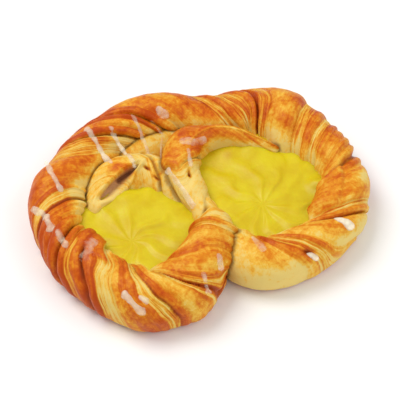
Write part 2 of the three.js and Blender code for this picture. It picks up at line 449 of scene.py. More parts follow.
def write_points(piece: Piece, points: Array) -> None:
    """Moves the points of a piece's mesh to the given places."""
    piece.data.vertices.foreach_set("co", points.astype(np.float32).ravel())
    piece.data.update()


def write_tone(piece: Piece, name: str, values: Array) -> None:
    """Stores one number or one vector per point as a named attribute.

    Args:
        piece: The piece whose mesh takes the attribute.
        name: The attribute's name.
        values: One row per point.
    """
    kind = "FLOAT" if values.ndim == 1 else "FLOAT_VECTOR"
    old = piece.data.attributes.get(name)
    tone = old or piece.data.attributes.new(name, kind, "POINT")
    tone.data.foreach_set("value" if values.ndim == 1 else "vector", values.astype(np.float32).ravel())


def apply_boolean(piece: Piece, other: Piece, operation: str) -> None:
    """Joins another solid to a piece or cuts it away, and removes the other.

    Args:
        piece: The piece that is changed.
        other: The solid that is used up.
        operation: UNION or DIFFERENCE.
    """
    select_only(piece)
    step = piece.modifiers.new("solid", "BOOLEAN")
    step.operation = operation
    step.solver = "MANIFOLD"
    step.object = other
    bpy.ops.object.modifier_apply(modifier="solid")
    bpy.data.objects.remove(other)


@dataclass(frozen=True)
class Placement:
    """Carries millimetres onto the box of a CAD node, whose corners lie at low and high."""

    low: tuple[float, float, float] = (-83.16, -66.35, 0.0)
    high: tuple[float, float, float] = (82.89, 67.61, 29.74)
    node: str = "dough_rope"

    @cached_property
    def corners(self) -> tuple[Array, Array]:
        """The lowest and highest corners of the CAD node, in metres."""
        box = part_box(self.node)
        return np.array(box[0], float), np.array(box[1], float)

    def to_scene(self, points: Array) -> Array:
        """Carries points from millimetres to metres in the CAD frame.

        Args:
            points: The points, one per row.

        Returns:
            The points in the CAD frame.
        """
        low, high = self.corners
        share = (points - np.array(self.low)) / (np.array(self.high) - np.array(self.low))
        return low + share * (high - low)

    def from_scene(self, points: Array) -> Array:
        """Carries points from metres in the CAD frame back to millimetres.

        Args:
            points: The points, one per row.

        Returns:
            The points in millimetres.
        """
        low, high = self.corners
        share = (points - low) / (high - low)
        return np.array(self.low) + share * (np.array(self.high) - np.array(self.low))


@dataclass(frozen=True)
class Rope:
    """The middle line of the pastry rope and its cross-sections.

    Each row of the line is x, y, z, the radius and the distance along the rope.
    """

    line: tuple = ROPE_LINE
    twist: tuple = TWIST
    pieces: int = 32
    tray_sink: float = 1.5
    belly: float = 2.7
    tip: float = 0.8
    steepening: float = 1.1
    left_front: Span = Span(122, 140, 190, 215)
    right_front: Pair = (465, 485)

    @cached_property
    def samples(self) -> Array:
        """Close points along the middle line, on a smooth curve through its own points.

        Returns:
            One row per point: x, y, z and radius.
        """
        knots = np.array(self.line, float)[:, :4]
        knots = np.vstack([2 * knots[0] - knots[1], knots, 2 * knots[-1] - knots[-2]])
        rows = []
        for first in range(len(knots) - 3):
            a, b, c, d = knots[first : first + 4]
            ta = math.dist(a[:3], b[:3]) ** 0.5
            tb = ta + math.dist(b[:3], c[:3]) ** 0.5
            tc = tb + math.dist(c[:3], d[:3]) ** 0.5
            t = (ta + (tb - ta) * np.arange(self.pieces) / self.pieces)[:, None]
            one = (ta - t) / ta * a + t / ta * b
            two = (tb - t) / (tb - ta) * b + (t - ta) / (tb - ta) * c
            three = (tc - t) / (tc - tb) * c + (t - tb) / (tc - tb) * d
            near = (tb - t) / tb * one + t / tb * two
            far = (tc - t) / (tc - ta) * two + (t - ta) / (tc - ta) * three
            rows.append((tb - t) / (tb - ta) * near + (t - ta) / (tb - ta) * far)
        return np.vstack(rows + [knots[-2:-1]])

    @cached_property
    def distances(self) -> Array:
        """How far along the rope each sample is, as marked on the middle line.

        Returns:
            One distance per sample.
        """
        gaps = np.linalg.norm(np.diff(self.samples[:, :3], axis=0), axis=1)
        run = np.concatenate([[0], np.cumsum(gaps)])
        marks = np.array([row[4] for row in self.line], float)
        return np.interp(run, run[:: self.pieces], marks)

    @property
    def length(self) -> float:
        """The rope's whole length."""
        return float(self.distances[-1])

    def centre(self, along: Array) -> Array:
        """The middle line's x, y, z and radius at the given distances."""
        return np.stack([np.interp(along, self.distances, self.samples[:, k]) for k in range(4)], -1)

    def heading(self, along: Array) -> Array:
        """The direction of travel at the given distances.

        Args:
            along: Distances along the rope.

        Returns:
            Vectors of length 1, one per row.
        """
        ahead = self.centre(np.minimum(along + 1, self.length))[..., :3]
        behind = self.centre(np.maximum(along - 1, 0))[..., :3]
        step = ahead - behind
        return step / np.linalg.norm(step, axis=-1, keepdims=True)

    def slant(self, along: Array) -> Array:
        """How far a fold moves along the rope for each radian round it.

        Args:
            along: Distances along the rope.

        Returns:
            The slants, eased between the knots of the twist.
        """
        at = np.array([self.line[knot][4] for knot, _ in self.twist], float)
        size = np.array([value for _, value in self.twist], float)
        left = np.clip(np.searchsorted(at, along) - 1, 0, len(at) - 2)
        share = blend(0, 1, (along - at[left]) / (at[left + 1] - at[left]))
        return size[left] * (1 - share) + size[left + 1] * share

    def fold(self, along: Array, angle: Array) -> Array:
        """The fold number at a place on the rope.

        Args:
            along: Distances along the rope.
            angle: Angles round the rope, in radians.

        Returns:
            The fold numbers. In the front folds turn steeper down their outer side.
        """
        turn = angle - math.pi / 2
        front = self.left_front.share(along) + blend(*self.right_front, along)
        eased = -self.steepening * (1 - np.exp(np.minimum(turn, 0) / self.steepening))
        turn = np.where(turn < 0, turn + front * (eased - turn), turn)
        return along - self.slant(along) * turn

    def surface(self, along: Array, angle: Array, lift: Array) -> Array:
        """Points on the rope's skin.

        Args:
            along: Distances along the rope, which may run past either end to round the tips.
            angle: Angles round the rope, in radians.
            lift: How far each point stands proud of the plain section.

        Returns:
            The points, one per row.
        """
        inside = np.clip(along, 0, self.length)
        row = self.centre(inside)
        forward = self.heading(inside)
        over = along - inside
        shrink = np.sqrt(np.clip(1 - (over / (self.tip * row[:, 3])) ** 2, 0, 1))
        side = np.stack([-forward[:, 1], forward[:, 0], 0 * along], -1)
        side /= np.linalg.norm(side, axis=1, keepdims=True)
        co, si = np.cos(angle), np.sin(angle)
        power = np.where(si < 0, self.belly, 2.0)
        reach = (abs(co) ** power + abs(si) ** power) ** (-1 / power)
        radius = (row[:, 3] + lift) * shrink
        rise = np.where(si < 0, (row[:, 2] + self.tray_sink) * reach, radius)
        spot = row[:, :3] + forward * over[:, None] + side * (radius * reach * co)[:, None]
        spot[:, 2] += rise * si * np.where(si < 0, shrink, 1)
        return spot


@dataclass(frozen=True)
class FoldProfile:
    """Height, browning, layering and painted crease shade across all the folds, looked up by fold number.
    """

    folds: tuple[Fold, ...] = FOLDS
    step: float = 0.1
    soft: float = 0.35
    reach: int = 12
    rib_layers: float = 0.25

    @cached_property
    def curves(self) -> tuple[Array, Array]:
        """The folds drawn out as curves.

        Returns:
            The fold numbers of the samples, and rows of height, bake, layering and painted crease shade.
        """
        at = np.arange(self.folds[0].start, self.folds[-1].start, self.step)
        rows = np.zeros((4, len(at)))
        for fold, after in zip(self.folds, self.folds[1:]):
            inside = (at >= fold.start) & (at < after.start)
            across = 2 * (at[inside] - fold.start) / (after.start - fold.start) - 1
            rows[1, inside] = fold.bake
            if fold.kind is Kind.FACE:
                rows[0, inside] = fold.height * (1 - abs(across) ** 3)
            elif fold.kind is Kind.RIB:
                rows[0, inside] = fold.height * (1 - across**2)
                rows[2, inside] = self.rib_layers
            elif fold.kind is Kind.LINES:
                rows[0, inside] = -fold.height * (1 - across**4)
                rows[2, inside] = 1
            else:
                rows[0, inside] = -fold.height * (1 - across**2)
                # painted shade down the middle of the crease
                rows[3, inside] = 1 - across**2
        kernel = hump(0, self.soft, np.arange(-self.reach, self.reach + 1) * self.step)
        kernel /= kernel.sum()
        padded = np.pad(rows, ((0, 0), (self.reach, self.reach)), mode="edge")
        return at, np.array([np.convolve(row, kernel, mode="valid") for row in padded])

    def at(self, fold: Array) -> tuple[Array, Array, Array, Array]:
        """Looks the curves up.

        Args:
            fold: Fold numbers.

        Returns:
            Height, bake, layering and painted crease shade.
        """
        places, rows = self.curves
        height, bake, layers, painted_shade = (np.interp(fold, places, row) for row in rows)
        return height, bake, layers, painted_shade


@dataclass(frozen=True)
class Mottle:
    """Random unevenness in patches of one size, or of one size for each axis."""

    amount: float
    size: float | tuple[float, float, float]
    seed: int

    def over(self, points: Array) -> Array:
        """Its value at each point, between minus and plus the amount."""
        return self.amount * grain(points / np.array(self.size), self.seed)


@dataclass
class Skin:
    """Places on the pastry's skin, with the values that shape and colour them there.

    A lane is a fold number before the folds waver, and fold is the number once they do.
    """

    spots: Array
    along: Array
    angle: Array
    radius: Array
    lane: Array
    fold: Array
    height: Array
    bake: Array
    layers: Array
    # painted shade in creases, cracks and hollows, from 0 to 1
    painted_shade: Array
    pocket: Array

    @cached_property
    def degrees(self) -> Array:
        """Angles round the rope, in degrees."""
        return np.degrees(self.angle)

    @cached_property
    def flow(self) -> Array:
        """Coordinates across the folds, round the rope and along it."""
        return np.stack([self.fold, self.radius * self.angle, self.along], -1)


@dataclass(frozen=True)
class Lanes:
    """How the folds are led along the rope at the arch, the knob and the front left.

    A side is a stretch of degrees round the rope, and a lead is how far the folds are shifted.
    """

    arch: Span = Span(35, 50, 72, 92)
    arch_side: Pair = (95, 150)
    arch_lead: float = 9.0
    knob: Span = Span(90, 102, 112, 132)
    knob_lead: float = 5.5
    front: Span = Span(146, 160, 190, 204)
    front_side: Pair = (60, 105)
    front_lead: float = 3.0
    corner: Pair = (186, 8)
    corner_lead: float = 4.5

    def led(self, fold: Array, along: Array, degrees: Array) -> Array:
        """Leads the folds.

        Args:
            fold: Fold numbers of folds that run evenly round the rope.
            along: Distances along the rope.
            degrees: Angles round the rope.

        Returns:
            The fold numbers of the folds as they run.
        """
        fold = fold + self.arch_lead * blend(*self.arch_side, degrees) * self.arch.share(along)
        fold += self.knob.share(along) * (along - self.knob_lead - fold)
        lead = self.front_lead + self.corner_lead * hump(*self.corner, along)
        return fold + lead * blend(*self.front_side, degrees) * self.front.share(along)


class Feature(ABC):
    """Something that shaping, proving or baking did to the folded dough."""

    @abstractmethod
    def mark(self, skin: Skin) -> None:
        """Changes the skin where the feature lies.

        Args:
            skin: The skin that is changed.
        """


@dataclass(frozen=True)
class Dough(Feature):
    """Folds of uneven height, thin layers that stand out, small lumps and uneven painted shade."""

    uneven: Mottle = Mottle(0.4, 15, 3)
    thin: Mottle = Mottle(0.35, (1.3, 15, 60), 4)
    lumps: tuple[Mottle, ...] = (Mottle(0.35, 7, 5), Mottle(0.12, 2.6, 6))
    crease_shade_base: float = 0.75
    crease_shade_mottle: Mottle = Mottle(0.7, 9, 7)

    def mark(self, skin: Skin) -> None:
        """Roughens the folds and makes the painted shade in some creases stronger than in others.

        Args:
            skin: The skin that is changed.
        """
        skin.height = skin.height * (1 + self.uneven.over(skin.spots))
        skin.height += skin.layers * self.thin.over(skin.flow)
        for lump in self.lumps:
            skin.height += lump.over(skin.spots)
        # painted shade in the creases, stronger in some than in others
        skin.painted_shade = skin.painted_shade * np.clip(self.crease_shade_base + self.crease_shade_mottle.over(skin.spots), 0, 1)


@dataclass(frozen=True)
class Sides(Feature):
    """Pale sides near the pudding and the tray, and a brown one at the front left."""

    bow: Span = Span(140, 156, 505, 520)
    bow_side: Pair = (122, 158)
    bow_pale: float = 0.42
    crease_kept: float = 0.5
    left: Span = Span(165, 190, 270, 300)
    left_side: Pair = (35, 80)
    left_brown: float = 0.18
    right: Span = Span(430, 455, 525, 545)
    right_side: Pair = (5, 62)
    right_pale: float = 0.34

    def mark(self, skin: Skin) -> None:
        """Bakes the sides.

        Args:
            skin: The skin that is changed.
        """
        inner = self.bow.share(skin.along) * blend(*self.bow_side, skin.degrees)
        # the paling is held back where the painted crease shade lies
        skin.bake = skin.bake - self.bow_pale * inner * (1 - self.crease_kept * skin.painted_shade)
        left = self.left.share(skin.along) * (1 - blend(*self.left_side, skin.degrees))
        right = self.right.share(skin.along) * (1 - blend(*self.right_side, skin.degrees))
        skin.bake += self.left_brown * left - self.right_pale * right


@dataclass(frozen=True)
class Arch(Feature):
    """The arch: a brown crown, a pale undercut outer side, and a rim with a step down inside it.

    A side is a stretch of degrees round the rope. Starts and ends are distances along it.
    """

    folds: Pair = (69, 71)
    end: Pair = (62, 76)
    crown_side: Span = Span(22, 50, 112, 140)
    crown_start: Pair = (18, 40)
    crown_brown: float = 0.08
    outer_side: Pair = (4, 40)
    outer_pale: float = 0.55
    foot: Pair = (48, 60)
    foot_pale: float = 0.12
    undercut_folds: Pair = (55, 65)
    undercut_side: Pair = (10, 34)
    undercut: float = 1.8
    rim_side: Pair = (66, 3.5)
    rim_end: Pair = (50, 60)
    rim_height: float = 0.6
    rim_pale: float = 0.22
    shelf_side: Pair = (71, 100)
    shelf_end: Pair = (34, 50)
    shelf_depth: float = 4.2

    def mark(self, skin: Skin) -> None:
        """Shapes and bakes the arch.

        Args:
            skin: The skin that is changed.
        """
        along, degrees = skin.along, skin.degrees
        arch = (1 - blend(*self.folds, skin.fold)) * (1 - blend(*self.end, along))
        crown = self.crown_side.share(degrees) * blend(*self.crown_start, along)
        outer = 1 - blend(*self.outer_side, degrees)
        rim = hump(*self.rim_side, degrees) * (1 - blend(*self.rim_end, along))
        skin.bake += arch * (self.crown_brown * crown - self.outer_pale * outer)
        skin.bake -= arch * self.foot_pale * blend(*self.foot, along) + self.rim_pale * rim
        undercut = blend(*self.undercut_folds, skin.fold) * (1 - blend(*self.undercut_side, degrees))
        shelf = blend(*self.shelf_side, degrees) * (1 - blend(*self.shelf_end, along))
        skin.height -= arch * self.undercut * undercut
        skin.height += self.rim_height * rim - self.shelf_depth * shelf


@dataclass(frozen=True)
class Centre(Feature):
    """The pale plain pastry between the pools and on the tail, and the knob where it ends."""

    start: Pair = (68, 72)
    end: Pair = (101.5, 104)
    tail: Pair = (528, 540)
    pale: float = 0.6
    plain: float = 0.62
    lines: float = 0.1
    lumps: Mottle = Mottle(0.5, 4.2, 8)
    knob: Span = Span(102.5, 105.5, 118, 150)
    knob_height: float = 1.6

    def mark(self, skin: Skin) -> None:
        """Pales the centre and raises the knob.

        Args:
            skin: The skin that is changed.
        """
        centre = blend(*self.start, skin.lane) * (1 - blend(*self.end, skin.fold))
        pale = np.maximum(centre, blend(*self.tail, skin.along))
        skin.height += self.knob_height * self.knob.share(skin.fold)
        skin.height += centre * self.lumps.over(skin.spots)
        skin.bake = skin.bake * (1 - self.pale * pale)
        skin.layers = skin.layers * (1 - self.plain * pale) + self.lines * centre


@dataclass(frozen=True)
class Patches(Feature):
    """Spots that differ from the rest of their fold. Deep ones are cracks, with painted shade inside."""

    patches: tuple[Patch, ...] = PATCHES
    crack: float = -1.0

    def mark(self, skin: Skin) -> None:
        """Adds the patches.

        Args:
            skin: The skin that is changed.
        """
        for patch in self.patches:
            near = hump(patch.fold, patch.width, skin.fold) * hump(patch.angle, patch.sweep, skin.degrees)
            skin.bake += patch.bake * near
            skin.height += patch.height * near
            if patch.height < self.crack:
                # painted shade inside a crack
                skin.painted_shade = np.maximum(skin.painted_shade, near)


@dataclass(frozen=True)
class Flaps(Feature):
    """Smooth flaps that lie over the folds, higher towards the pudding."""

    flaps: tuple[Flap, ...] = FLAPS
    outer_share: float = 0.5
    slope_side: Pair = (100, 150)
    smoothing: float = 0.7
    shade: float = 0.9

    def mark(self, skin: Skin) -> None:
        """Lays the flaps.

        Args:
            skin: The skin that is changed.
        """
        slope = self.outer_share + (1 - self.outer_share) * blend(*self.slope_side, skin.degrees)
        for flap in self.flaps:
            cover = flap.cover(skin.fold, skin.degrees)
            skin.height += cover * (flap.height * slope - self.smoothing * skin.height)
            skin.bake += cover * (flap.bake - skin.bake)
            skin.layers = skin.layers * (1 - cover)
            shadow = self.shade * flap.shadow(skin.fold, skin.degrees)
            skin.painted_shade = np.maximum(skin.painted_shade * (1 - cover), shadow)


@dataclass(frozen=True)
class Oven(Feature):
    """Uneven baking, and layers baked ragged."""

    clouds: tuple[Mottle, ...] = (Mottle(0.10, 11, 9), Mottle(0.08, 4, 10))
    worn: Mottle = Mottle(0.12, (8, 8, 60), 12)
    ragged: Mottle = Mottle(1.0, (3.1, 20, 70), 11)
    ragged_brown: float = 0.16
    ragged_height: float = 0.22

    def mark(self, skin: Skin) -> None:
        """Bakes the skin.

        Args:
            skin: The skin that is changed.
        """
        for cloud in self.clouds:
            skin.bake += cloud.over(skin.spots)
        ragged = self.ragged.over(skin.flow)
        skin.bake += self.ragged_brown * ragged + self.worn.over(skin.flow)
        skin.height += self.ragged_height * ragged


@dataclass(frozen=True)
class Tear(Feature):
    """The open tear near the end of the tail, with raised lips and a hole at its inner end that has painted
    shade.
    """

    middle: Pair = (-34.2, 16.3)
    half: Pair = (14.0, 2.5)
    turn: float = 0.36
    start: float = 585.0
    top: Pair = (9.0, 11.0)
    narrowing: float = 0.45
    narrow_part: Pair = (0.3, 0.9)
    wall: Pair = (0.6, 1.0)
    lip_at: Pair = (1.3, 0.25)
    hole_wall: Pair = (0.35, 0.75)
    hole_part: Pair = (0.0, 0.15)
    depth: float = 3.6
    lip_height: float = 1.2
    hole_depth: float = 1.2

    def mark(self, skin: Skin) -> None:
        """Opens the tear.

        Args:
            skin: The skin that is changed.
        """
        co, si = math.cos(self.turn), math.sin(self.turn)
        x = skin.spots[:, 0] - self.middle[0]
        y = skin.spots[:, 1] - self.middle[1]
        lengthwise = (x * co + y * si) / self.half[0]
        narrow = 1 - self.narrowing * blend(*self.narrow_part, lengthwise)
        across = (y * co - x * si) / (self.half[1] * narrow)
        out = np.sqrt(abs(lengthwise) ** 3 + across**2)
        top = (skin.along > self.start) * blend(*self.top, skin.spots[:, 2])
        hole = top * (1 - blend(*self.hole_wall, out)) * blend(*self.hole_part, lengthwise)
        # the pocket is sunk and tinted tan: torn dough, darkened in part as painted shade of the hollow
        skin.pocket = top * (1 - blend(*self.wall, out))
        skin.height += self.lip_height * top * hump(*self.lip_at, out)
        skin.height -= self.depth * skin.pocket + self.hole_depth * hole
        # painted shade in the hole
        skin.painted_shade = np.maximum(skin.painted_shade, hole)


@dataclass(frozen=True)
class Tray(Feature):
    """How the dough settled on the tray: lower all over and smooth underneath."""

    settling: float = 0.8
    smoothing: float = 0.7
    underside: Pair = (0.3, 0.9)

    def mark(self, skin: Skin) -> None:
        """Settles the skin.

        Args:
            skin: The skin that is changed.
        """
        smooth = self.smoothing * blend(*self.underside, -np.sin(skin.angle))
        skin.height = (skin.height - self.settling) * (1 - smooth)


@dataclass(frozen=True)
class Web:
    """A web of dough, with its middle and its half lengths."""

    middle: tuple[float, float, float]
    half: tuple[float, float, float]


@dataclass
class Pastry:
    """The twisted puff pastry, baked as one piece."""

    rope: Rope
    placement: Placement
    profile: FoldProfile = field(default_factory=FoldProfile)
    lanes: Lanes = Lanes()
    waver: tuple[Mottle, ...] = (Mottle(1.3, 17, 1), Mottle(0.6, 6, 2))
    features: tuple[Feature, ...] = (
        Dough(), Sides(), Arch(), Centre(), Patches(), Flaps(), Oven(), Tear(), Tray(),
    )
    bakes: Pair = (-0.1, 1.1)
    tray_mark: Pair = (0.3, 2.2)
    sides: int = 96
    step: float = 0.8
    crowding: float = 0.35
    joins: Pair = (144.0, 510.0)
    webs: tuple[Web, ...] = (Web((-6, 38, 6), (25, 11, 10)), Web((25, 30, 5.5), (14, 9, 8)))
    web_sides: int = 64
    web_lumps: Mottle = Mottle(0.8, 6, 20)
    web_bake: float = 0.14
    web_clouds: Mottle = Mottle(0.16, 7, 21)
    web_flow: tuple[float, float, float] = (0.3, 1.0, 0.3)
    # the web gets a light even painted shade all over
    web_tones: tuple = (("layers", 0.15), ("painted_shade", 0.16), ("pocket", 0.0), ("under", 0.0))
    # crease and crease_reach: how strong the painted shade is where two lengths meet, and how far it
    # reaches
    crease: float = 0.75
    crease_reach: Pair = (0.0005, 0.0017)
    same_length: float = 15.0
    tip_gap: float = 1e-6
    smooth_below: float = 60.0

    def angles(self) -> Array:
        """Angles round the rope, closer together on top, with the seam underneath."""
        share = np.arange(self.sides) / self.sides * 2 * math.pi
        return -math.pi / 2 + share + self.crowding * np.sin(share)

    def folded(self, along: Array, angle: Array) -> Skin:
        """The skin with its folds and nothing else.

        Args:
            along: Distances along the rope.
            angle: Angles round the rope, in radians.

        Returns:
            The skin.
        """
        spots = self.rope.surface(along, angle, 0 * angle)
        radius = self.rope.centre(along)[:, 3]
        lane = self.lanes.led(self.rope.fold(along, angle), along, np.degrees(angle))
        fold = lane + sum(mottle.over(spots) for mottle in self.waver)
        return Skin(spots, along, angle, radius, lane, fold, *self.profile.at(fold), 0 * along)

    def relief(self, along: Array, angle: Array) -> dict[str, Array]:
        """The skin's height and its tones at places on the rope.

        Args:
            along: Distances along the rope.
            angle: Angles round the rope, in radians.

        Returns:
            Named values: lift, and the tones that the finish reads.
        """
        skin = self.folded(np.clip(along, 0, self.rope.length), angle)
        for feature in self.features:
            feature.mark(skin)
        return {
            "lift": skin.height,
            "flow": skin.flow,
            "bake": np.clip(skin.bake, *self.bakes),
            "layers": np.clip(skin.layers, 0, 1),
            "painted_shade": np.clip(skin.painted_shade, 0, 1),
            "pocket": skin.pocket,
            "under": 1 - blend(*self.tray_mark, skin.spots[:, 2]),
        }

    def length_of_rope(self, name: str, start: float, end: float) -> Piece:
        """One length of the rope as a closed solid.

        Args:
            name: The new object's name.
            start: Where along the rope it starts.
            end: Where along the rope it ends.

        Returns:
            The solid, with its tones stored on its points.
        """
        rope = self.rope
        first = -rope.tip * rope.centre(np.array([0.0]))[0, 3] if start == 0 else start
        tail = rope.tip * rope.centre(np.array([rope.length]))[0, 3]
        last = end + tail if end == rope.length else end
        count = round((last - first) / self.step)
        stations = np.linspace(first, last, count + 1)
        stations[0] += self.tip_gap * (start == 0)
        piece, side, ring = shaped_sphere(name, self.sides, count + 2)
        along = stations[np.clip(ring - 1, 0, count)]
        angle = self.angles()[side]
        tones = self.relief(along, angle)
        points = rope.surface(along, angle, tones.pop("lift"))
        for pole, station in ((0, stations[0]), (count + 2, stations[-1])):
            inside = np.clip(np.array([station]), 0, rope.length)
            over = station - inside[0]
            points[ring == pole] = rope.centre(inside)[0, :3] + over * rope.heading(inside)[0]
        write_points(piece, self.placement.to_scene(points))
        for tone, values in tones.items():
            write_tone(piece, tone, values)
        return piece

    def web_piece(self, web: Web) -> Piece:
        """Makes a web of dough, which fills a gap between the back and the arms.

        Args:
            web: The web's place and size.

        Returns:
            The web as a closed piece.
        """
        piece, _, _ = shaped_sphere("web", self.web_sides, self.web_sides // 2)
        points = read_points(piece) * np.array(web.half) + np.array(web.middle)
        points[:, 2] += self.web_lumps.over(points)
        write_points(piece, self.placement.to_scene(points))
        write_tone(piece, "flow", points * np.array(self.web_flow))
        write_tone(piece, "bake", self.web_bake + self.web_clouds.over(points))
        for tone, value in self.web_tones:
            write_tone(piece, tone, np.full(len(points), value))
        return piece

    def build(self) -> Piece:
        """Makes the lengths of rope and the webs, and joins them.

        Returns:
            The pastry as one solid.
        """
        before, after = self.joins
        lengths = (
            self.length_of_rope("pastry", 0, before),
            self.length_of_rope("bow", before, after),
            self.length_of_rope("tail", after, self.rope.length),
            *(self.web_piece(web) for web in self.webs),
        )
        skins = [read_points(piece) for piece in lengths]
        tones = {tone: [read_tone(piece, tone) for piece in lengths] for tone in TONES}
        pastry = lengths[0]
        for piece in lengths[1:]:
            apply_boolean(pastry, piece, "UNION")
        points = read_points(pastry)
        self.carry_tones(pastry, points, skins, tones)
        points[:, 2] = np.maximum(points[:, 2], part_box("dough_rope")[0][2])
        write_points(pastry, points)
        finish_mesh(pastry, self.smooth_below)
        return pastry

    def carry_tones(self, pastry: Piece, points: Array, skins: list, tones: dict) -> None:
        """Gives the joined pastry the tones of its lengths, with painted shade along the crease where two
        of them meet.

        Args:
            pastry: The joined pastry.
            points: Its points.
            skins: The points of each length before the join.
            tones: For each tone, its values on each length.
        """
        trees = [search_tree(skin) for skin in skins]
        found = np.array([[tree.find(spot)[1:] for tree in trees] for spot in points])
        index, gap = found[..., 0].astype(int), found[..., 1]
        own = gap.argmin(axis=1)
        rows = np.arange(len(points))
        starts = np.cumsum([0] + [len(skin) for skin in skins[:-1]])
        nearest = starts[own] + index[rows, own]
        along = np.stack([flow[index[:, number], 2] for number, flow in enumerate(tones["flow"])], -1)
        apart = abs(along - along[rows, own][:, None]) > self.same_length
        gap = np.where(apart, gap, 1).min(axis=1)
        for tone, values in tones.items():
            kept = np.concatenate(values)[nearest]
            if tone == "painted_shade":
                # painted shade near the skin of another length
                kept = np.maximum(kept, self.crease * (1 - blend(*self.crease_reach, gap)))
            write_tone(pastry, tone, kept)


def search_tree(spots: Array) -> KDTree:
    """Sorts points so that the nearest one can be looked up.

    Args:
        spots: The points, one per row.

    Returns:
        The tree.
    """
    tree = KDTree(len(spots))
    for number, spot in enumerate(spots):
        tree.insert(spot, number)
    tree.balance()
    return tree


def read_tone(piece: Piece, name: str) -> Array:
    """Reads a point attribute of a piece.

    Args:
        piece: The piece.
        name: The attribute's name.

    Returns:
        One number or one vector per point.
    """
    tone = piece.data.attributes[name]
    wide = 3 if tone.data_type == "FLOAT_VECTOR" else 1
    flat = np.empty(len(piece.data.vertices) * wide, dtype=np.float32)
    tone.data.foreach_get("vector" if wide == 3 else "value", flat)
    return flat.reshape(-1, 3) if wide == 3 else flat


def finish_mesh(piece: Piece, degrees: float) -> None:
    """Shades a piece smooth, but for edges sharper than the given angle.

    Args:
        piece: The piece.
        degrees: The angle.
    """
    select_only(piece)
    bpy.ops.object.shade_smooth_by_angle(angle=math.radians(degrees))
    bpy.ops.object.select_all(action="DESELECT")


def linear(red: int, green: int, blue: int) -> tuple[float, float, float, float]:
    """Turns a colour as it looks on a screen into the values that shaders take.

    Args:
        red: From 0 to 255.
        green: From 0 to 255.
        blue: From 0 to 255.

    Returns:
        Linear red, green and blue from 0 to 1, and full cover.
    """
    shares = [value / 255 for value in (red, green, blue)]
    made = [x / 12.92 if x <= 0.04045 else ((x + 0.055) / 1.055) ** 2.4 for x in shares]
    return (*made, 1.0)


